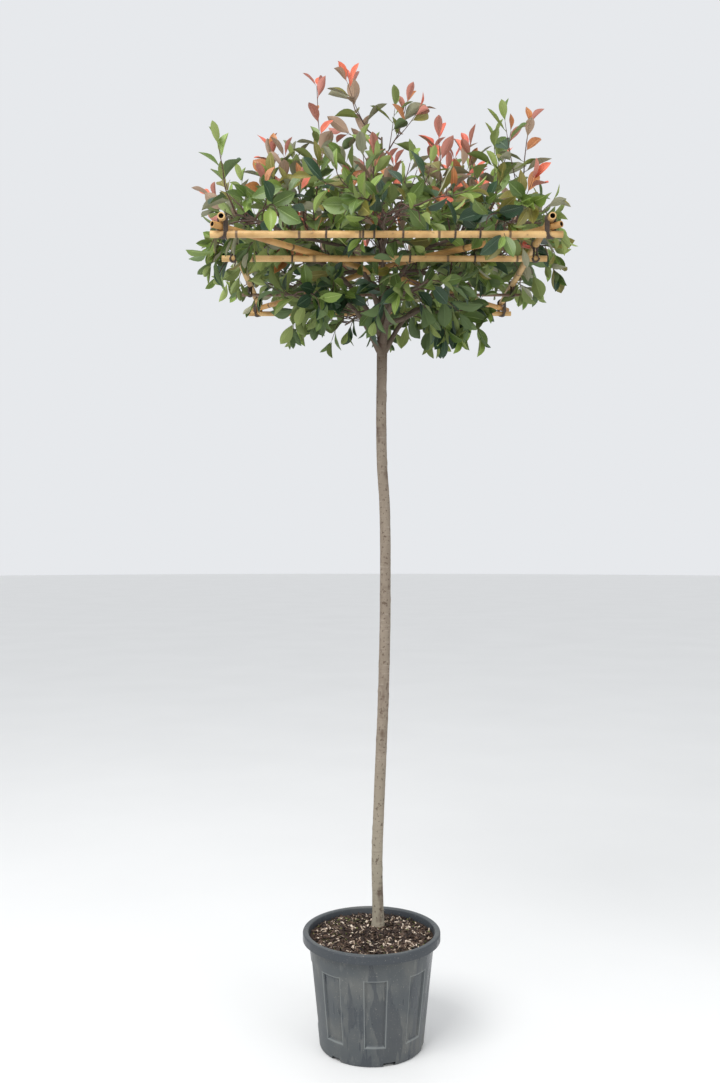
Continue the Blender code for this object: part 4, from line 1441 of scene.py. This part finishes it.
def tint_of(age, height, red):
    """Picks a leaf's tint by its age, from 0 at the shoot's tip, and its height over the frame."""
    draw = grow.random()
    if red and age < RED_AGE:
        kind = "tip" if age < TIP_AGE else "red"
    elif age < YOUNG_AGE and height > YOUNG_HEIGHT:
        kind = "young"
    elif height < MIDDLE_HEIGHT:
        kind = "low" if height < LOW_HEIGHT else "middle"
    else:
        kind = "high"
    return next(tint for tint, share in TINTS[kind] if draw < share)


def clear_of_canes(places):
    for start, end, radius in poles:
        run = end - start
        for place in places:
            share = max(0.0, min(1.0, (place - start).dot(run) / run.length_squared))
            if (place - start - run * share).length < radius + LEAF_CLEARANCE:
                return False
    return True


def set_leaf(place, along_twig, across, turn, age, red, droop, big):
    """Sets one leaf where it stays in the crown's box and clear of the canes, or leaves it out."""
    length = grow.uniform(*LEAF_LENGTH) * between(LENGTH_BY_AGE, age) * big
    width = length * LEAF_WIDTH * grow.uniform(*LEAF_WIDTHS) * between(WIDTH_BY_AGE, age)
    tint = tint_of(age, (place.z - TINT_LOW) / TINT_RISE, red)
    mesh = grow.choice(leaf_kinds[tint])
    for attempt in range(LEAF_TRIES):
        outward = around(along_twig, across, turn + attempt)
        opened = LEAF_LEAN + LEAF_OPENING * min(1.0, age * OPENING_RATE)
        lean = math.radians(opened + grow.uniform(*LEAF_LEAN_DRIFT))
        along = along_twig * math.cos(lean) + outward * math.sin(lean)
        along = (along + Vector((0, 0, -droop))).normalized()
        face_up = (along_twig - along * along_twig.dot(along)).normalized()
        face_up = Matrix.Rotation(grow.gauss(0.0, LEAF_ROLL), 3, along) @ face_up
        side = along.cross(face_up)
        blade = [place + along * length * share for share in LEAF_SPOTS]
        middle = blade[1]
        blade += [middle + side * width / 2, middle - side * width / 2]
        inside = all(low < value < high for spot in blade
                     for value, low, high in zip(spot, low_corner, high_corner))
        by_fork = math.hypot(*(middle - LEADER).xy) < FORK_CLEAR[0]
        hides_fork = middle.z < FORK_CLEAR[1] and by_fork
        by_bar = abs(middle.z - FRAME_Z) < BAR_CLEAR
        hides_bar = abs(middle.y - FRAME_Y) > BARS["back"][0] and by_bar
        if inside and not hides_fork and not hides_bar and clear_of_canes(blade):
            matrix = Matrix.Identity(4)
            for column, axis in enumerate((side * width, along * length, face_up * length, place)):
                matrix.col[column][:3] = axis
            leaves[tint].append(placed(mesh, matrix))
            return


def new_twig(places, radius, leafy, *growth):
    """A twig with leaves in a spiral down its leafy share, two of them upright at its tip."""
    radii = spread(radius, radius * TWIG_TAPER, len(places) - 1)
    twigs.append(object_of(sweep(places, radii, TWIG_SIDES), "twig", young_bark))
    rings = stations(places)
    length = sum((second - first).length for first, second in zip(places, places[1:]))
    count = max(LEAST_LEAVES, round(length * leafy / LEAF_GAP))
    turn = grow.uniform(0.0, math.tau)
    for number in range(count):
        age = max(0.0, number - 1.0) / count
        share = (1.0 - leafy * age) * (len(places) - 1)
        index = min(int(share), len(places) - 2)
        (first, along, across), (second, *_) = rings[index], rings[index + 1]
        place = first.lerp(second, share - index)
        ripe = age * min(1.0, count / RIPE_LEAVES)
        set_leaf(place, along, across, turn + GOLDEN_TURN * number, ripe, *growth)


def grow_twig(kind, start, tip, red=False):
    """A twig that runs out from its limb and turns up to its tip, with finer twigs low on it."""
    rise, radius, leafy, droop, sides, big = TWIG_KINDS[kind]
    bend = start.lerp(tip, TWIG_BEND)
    bend.z = start.z + rise
    places = [bezier(start, bend, tip, share) for share in spread(0.0, 1.0, TWIG_STEPS)]
    places = swaying(places, grow.uniform(0.0, 99.0), TWIG_SWAY)
    new_twig(places, radius, leafy, red, droop, big)
    rings = stations(places)
    for number in range(sides):
        station = 1 + round(SIDE_TWIG_REACH * (number + grow.random()) / sides)
        place, along, across = rings[station]
        outward = around(along, across, grow.uniform(0.0, math.tau))
        lean = math.radians(grow.uniform(*SIDE_TWIG_LEAN))
        towards = along * math.cos(lean) + outward * math.sin(lean)
        reach = grow.uniform(*SIDE_TWIG_LENGTH)
        end = place + towards * reach + Vector((0, 0, reach * SIDE_TWIG_RISE))
        under_tip = SIDE_TWIG_LOW < end.z < tip.z - SIDE_TWIG_DROP
        if under_tip and crown_share(end.x, end.y) < SIDE_TWIG_SPILL:
            bend = place + towards * reach * SIDE_TWIG_BEND
            shares = spread(0.0, 1.0, SIDE_TWIG_STEPS)
            small = [bezier(place, bend, end, share) for share in shares]
            young = red and grow.random() < SIDE_TWIG_RED
            new_twig(small, radius * SIDE_TWIG_RADIUS, SIDE_TWIG_LEAFY, young, droop, big)


tips = [Vector((x, y, z - APEX)) for x, y, z in LEADING_SHOOTS]
tips += spread_tips() + hanging_tips()
for number, tip in enumerate(tips):
    red = number > 0 and (grow.random() < RED_SHARE or number < len(LEADING_SHOOTS))
    if in_top(tip):
        height = max(TOP_FLOOR, min(TOP_STEM_HEIGHT - TOP_TWIG_CLEAR, tip.z - TOP_TWIG_DROP))
        share = (height - leader_heights[0]) / (TOP_STEM_HEIGHT - leader_heights[0])
        grow_twig("top", on_route(leader_places, share), tip, red)
        continue
    limb = nearest_bough(tip)
    bearing, _, bough, edge = limbs[limb]
    reach = min(edge - UPPER_TWIG_CLEAR, out_along(tip, bearing) - TWIG_SETBACK)
    reach = max(bough[1] * UPPER_TWIG_FROM, reach)
    grow_twig("upper", on_limb(limb, reach), tip, red and tip.z > RED_HEIGHT)
for number, (bearing, level, bough, edge) in enumerate(lower_limbs):
    first = bough[1] + LOWER_TWIG_START
    for twig in range(LOWER_TWIGS):
        reach = first + (edge - first) * twig / LOWER_TWIGS
        turn = (-1) ** twig * grow.uniform(*LOWER_TWIG_TURN)
        fall = LOWER_DROP * grow.random() ** 1.5
        tip = LEADER + plan(bearing + turn, reach + LOWER_TWIG_REACH, level - fall)
        kind = "lower_right" if number in (0, 3) else "lower"
        grow_twig(kind, on_limb(len(upper_limbs) + number, reach), tip)
for limb, (bearing, *_, edge) in enumerate(limbs):
    rise = INNER_RISE if limb < len(upper_limbs) else LOWER_INNER_RISE
    reach = INNER_FROM
    while reach < edge:
        for side in (-1, 1):
            start = on_limb(limb, reach)
            turn = bearing + side * grow.uniform(*INNER_TURN)
            tip = start + plan(turn, grow.uniform(*INNER_LENGTH), grow.uniform(*rise))
            if crown_share(tip.x, tip.y) < INNER_EDGE and grow.random() < INNER_SHARE:
                grow_twig("inner", start, tip)
        reach += INNER_GAP

masses = nodes_named("foliage")
twig_piece = joined("twigs", twigs)
smooth(twig_piece, 70)
dress(twig_piece, "leaves", *masses)
for tint, copies in leaves.items():
    dress(joined(f"leaves_{tint}", copies), "leaves", *masses)
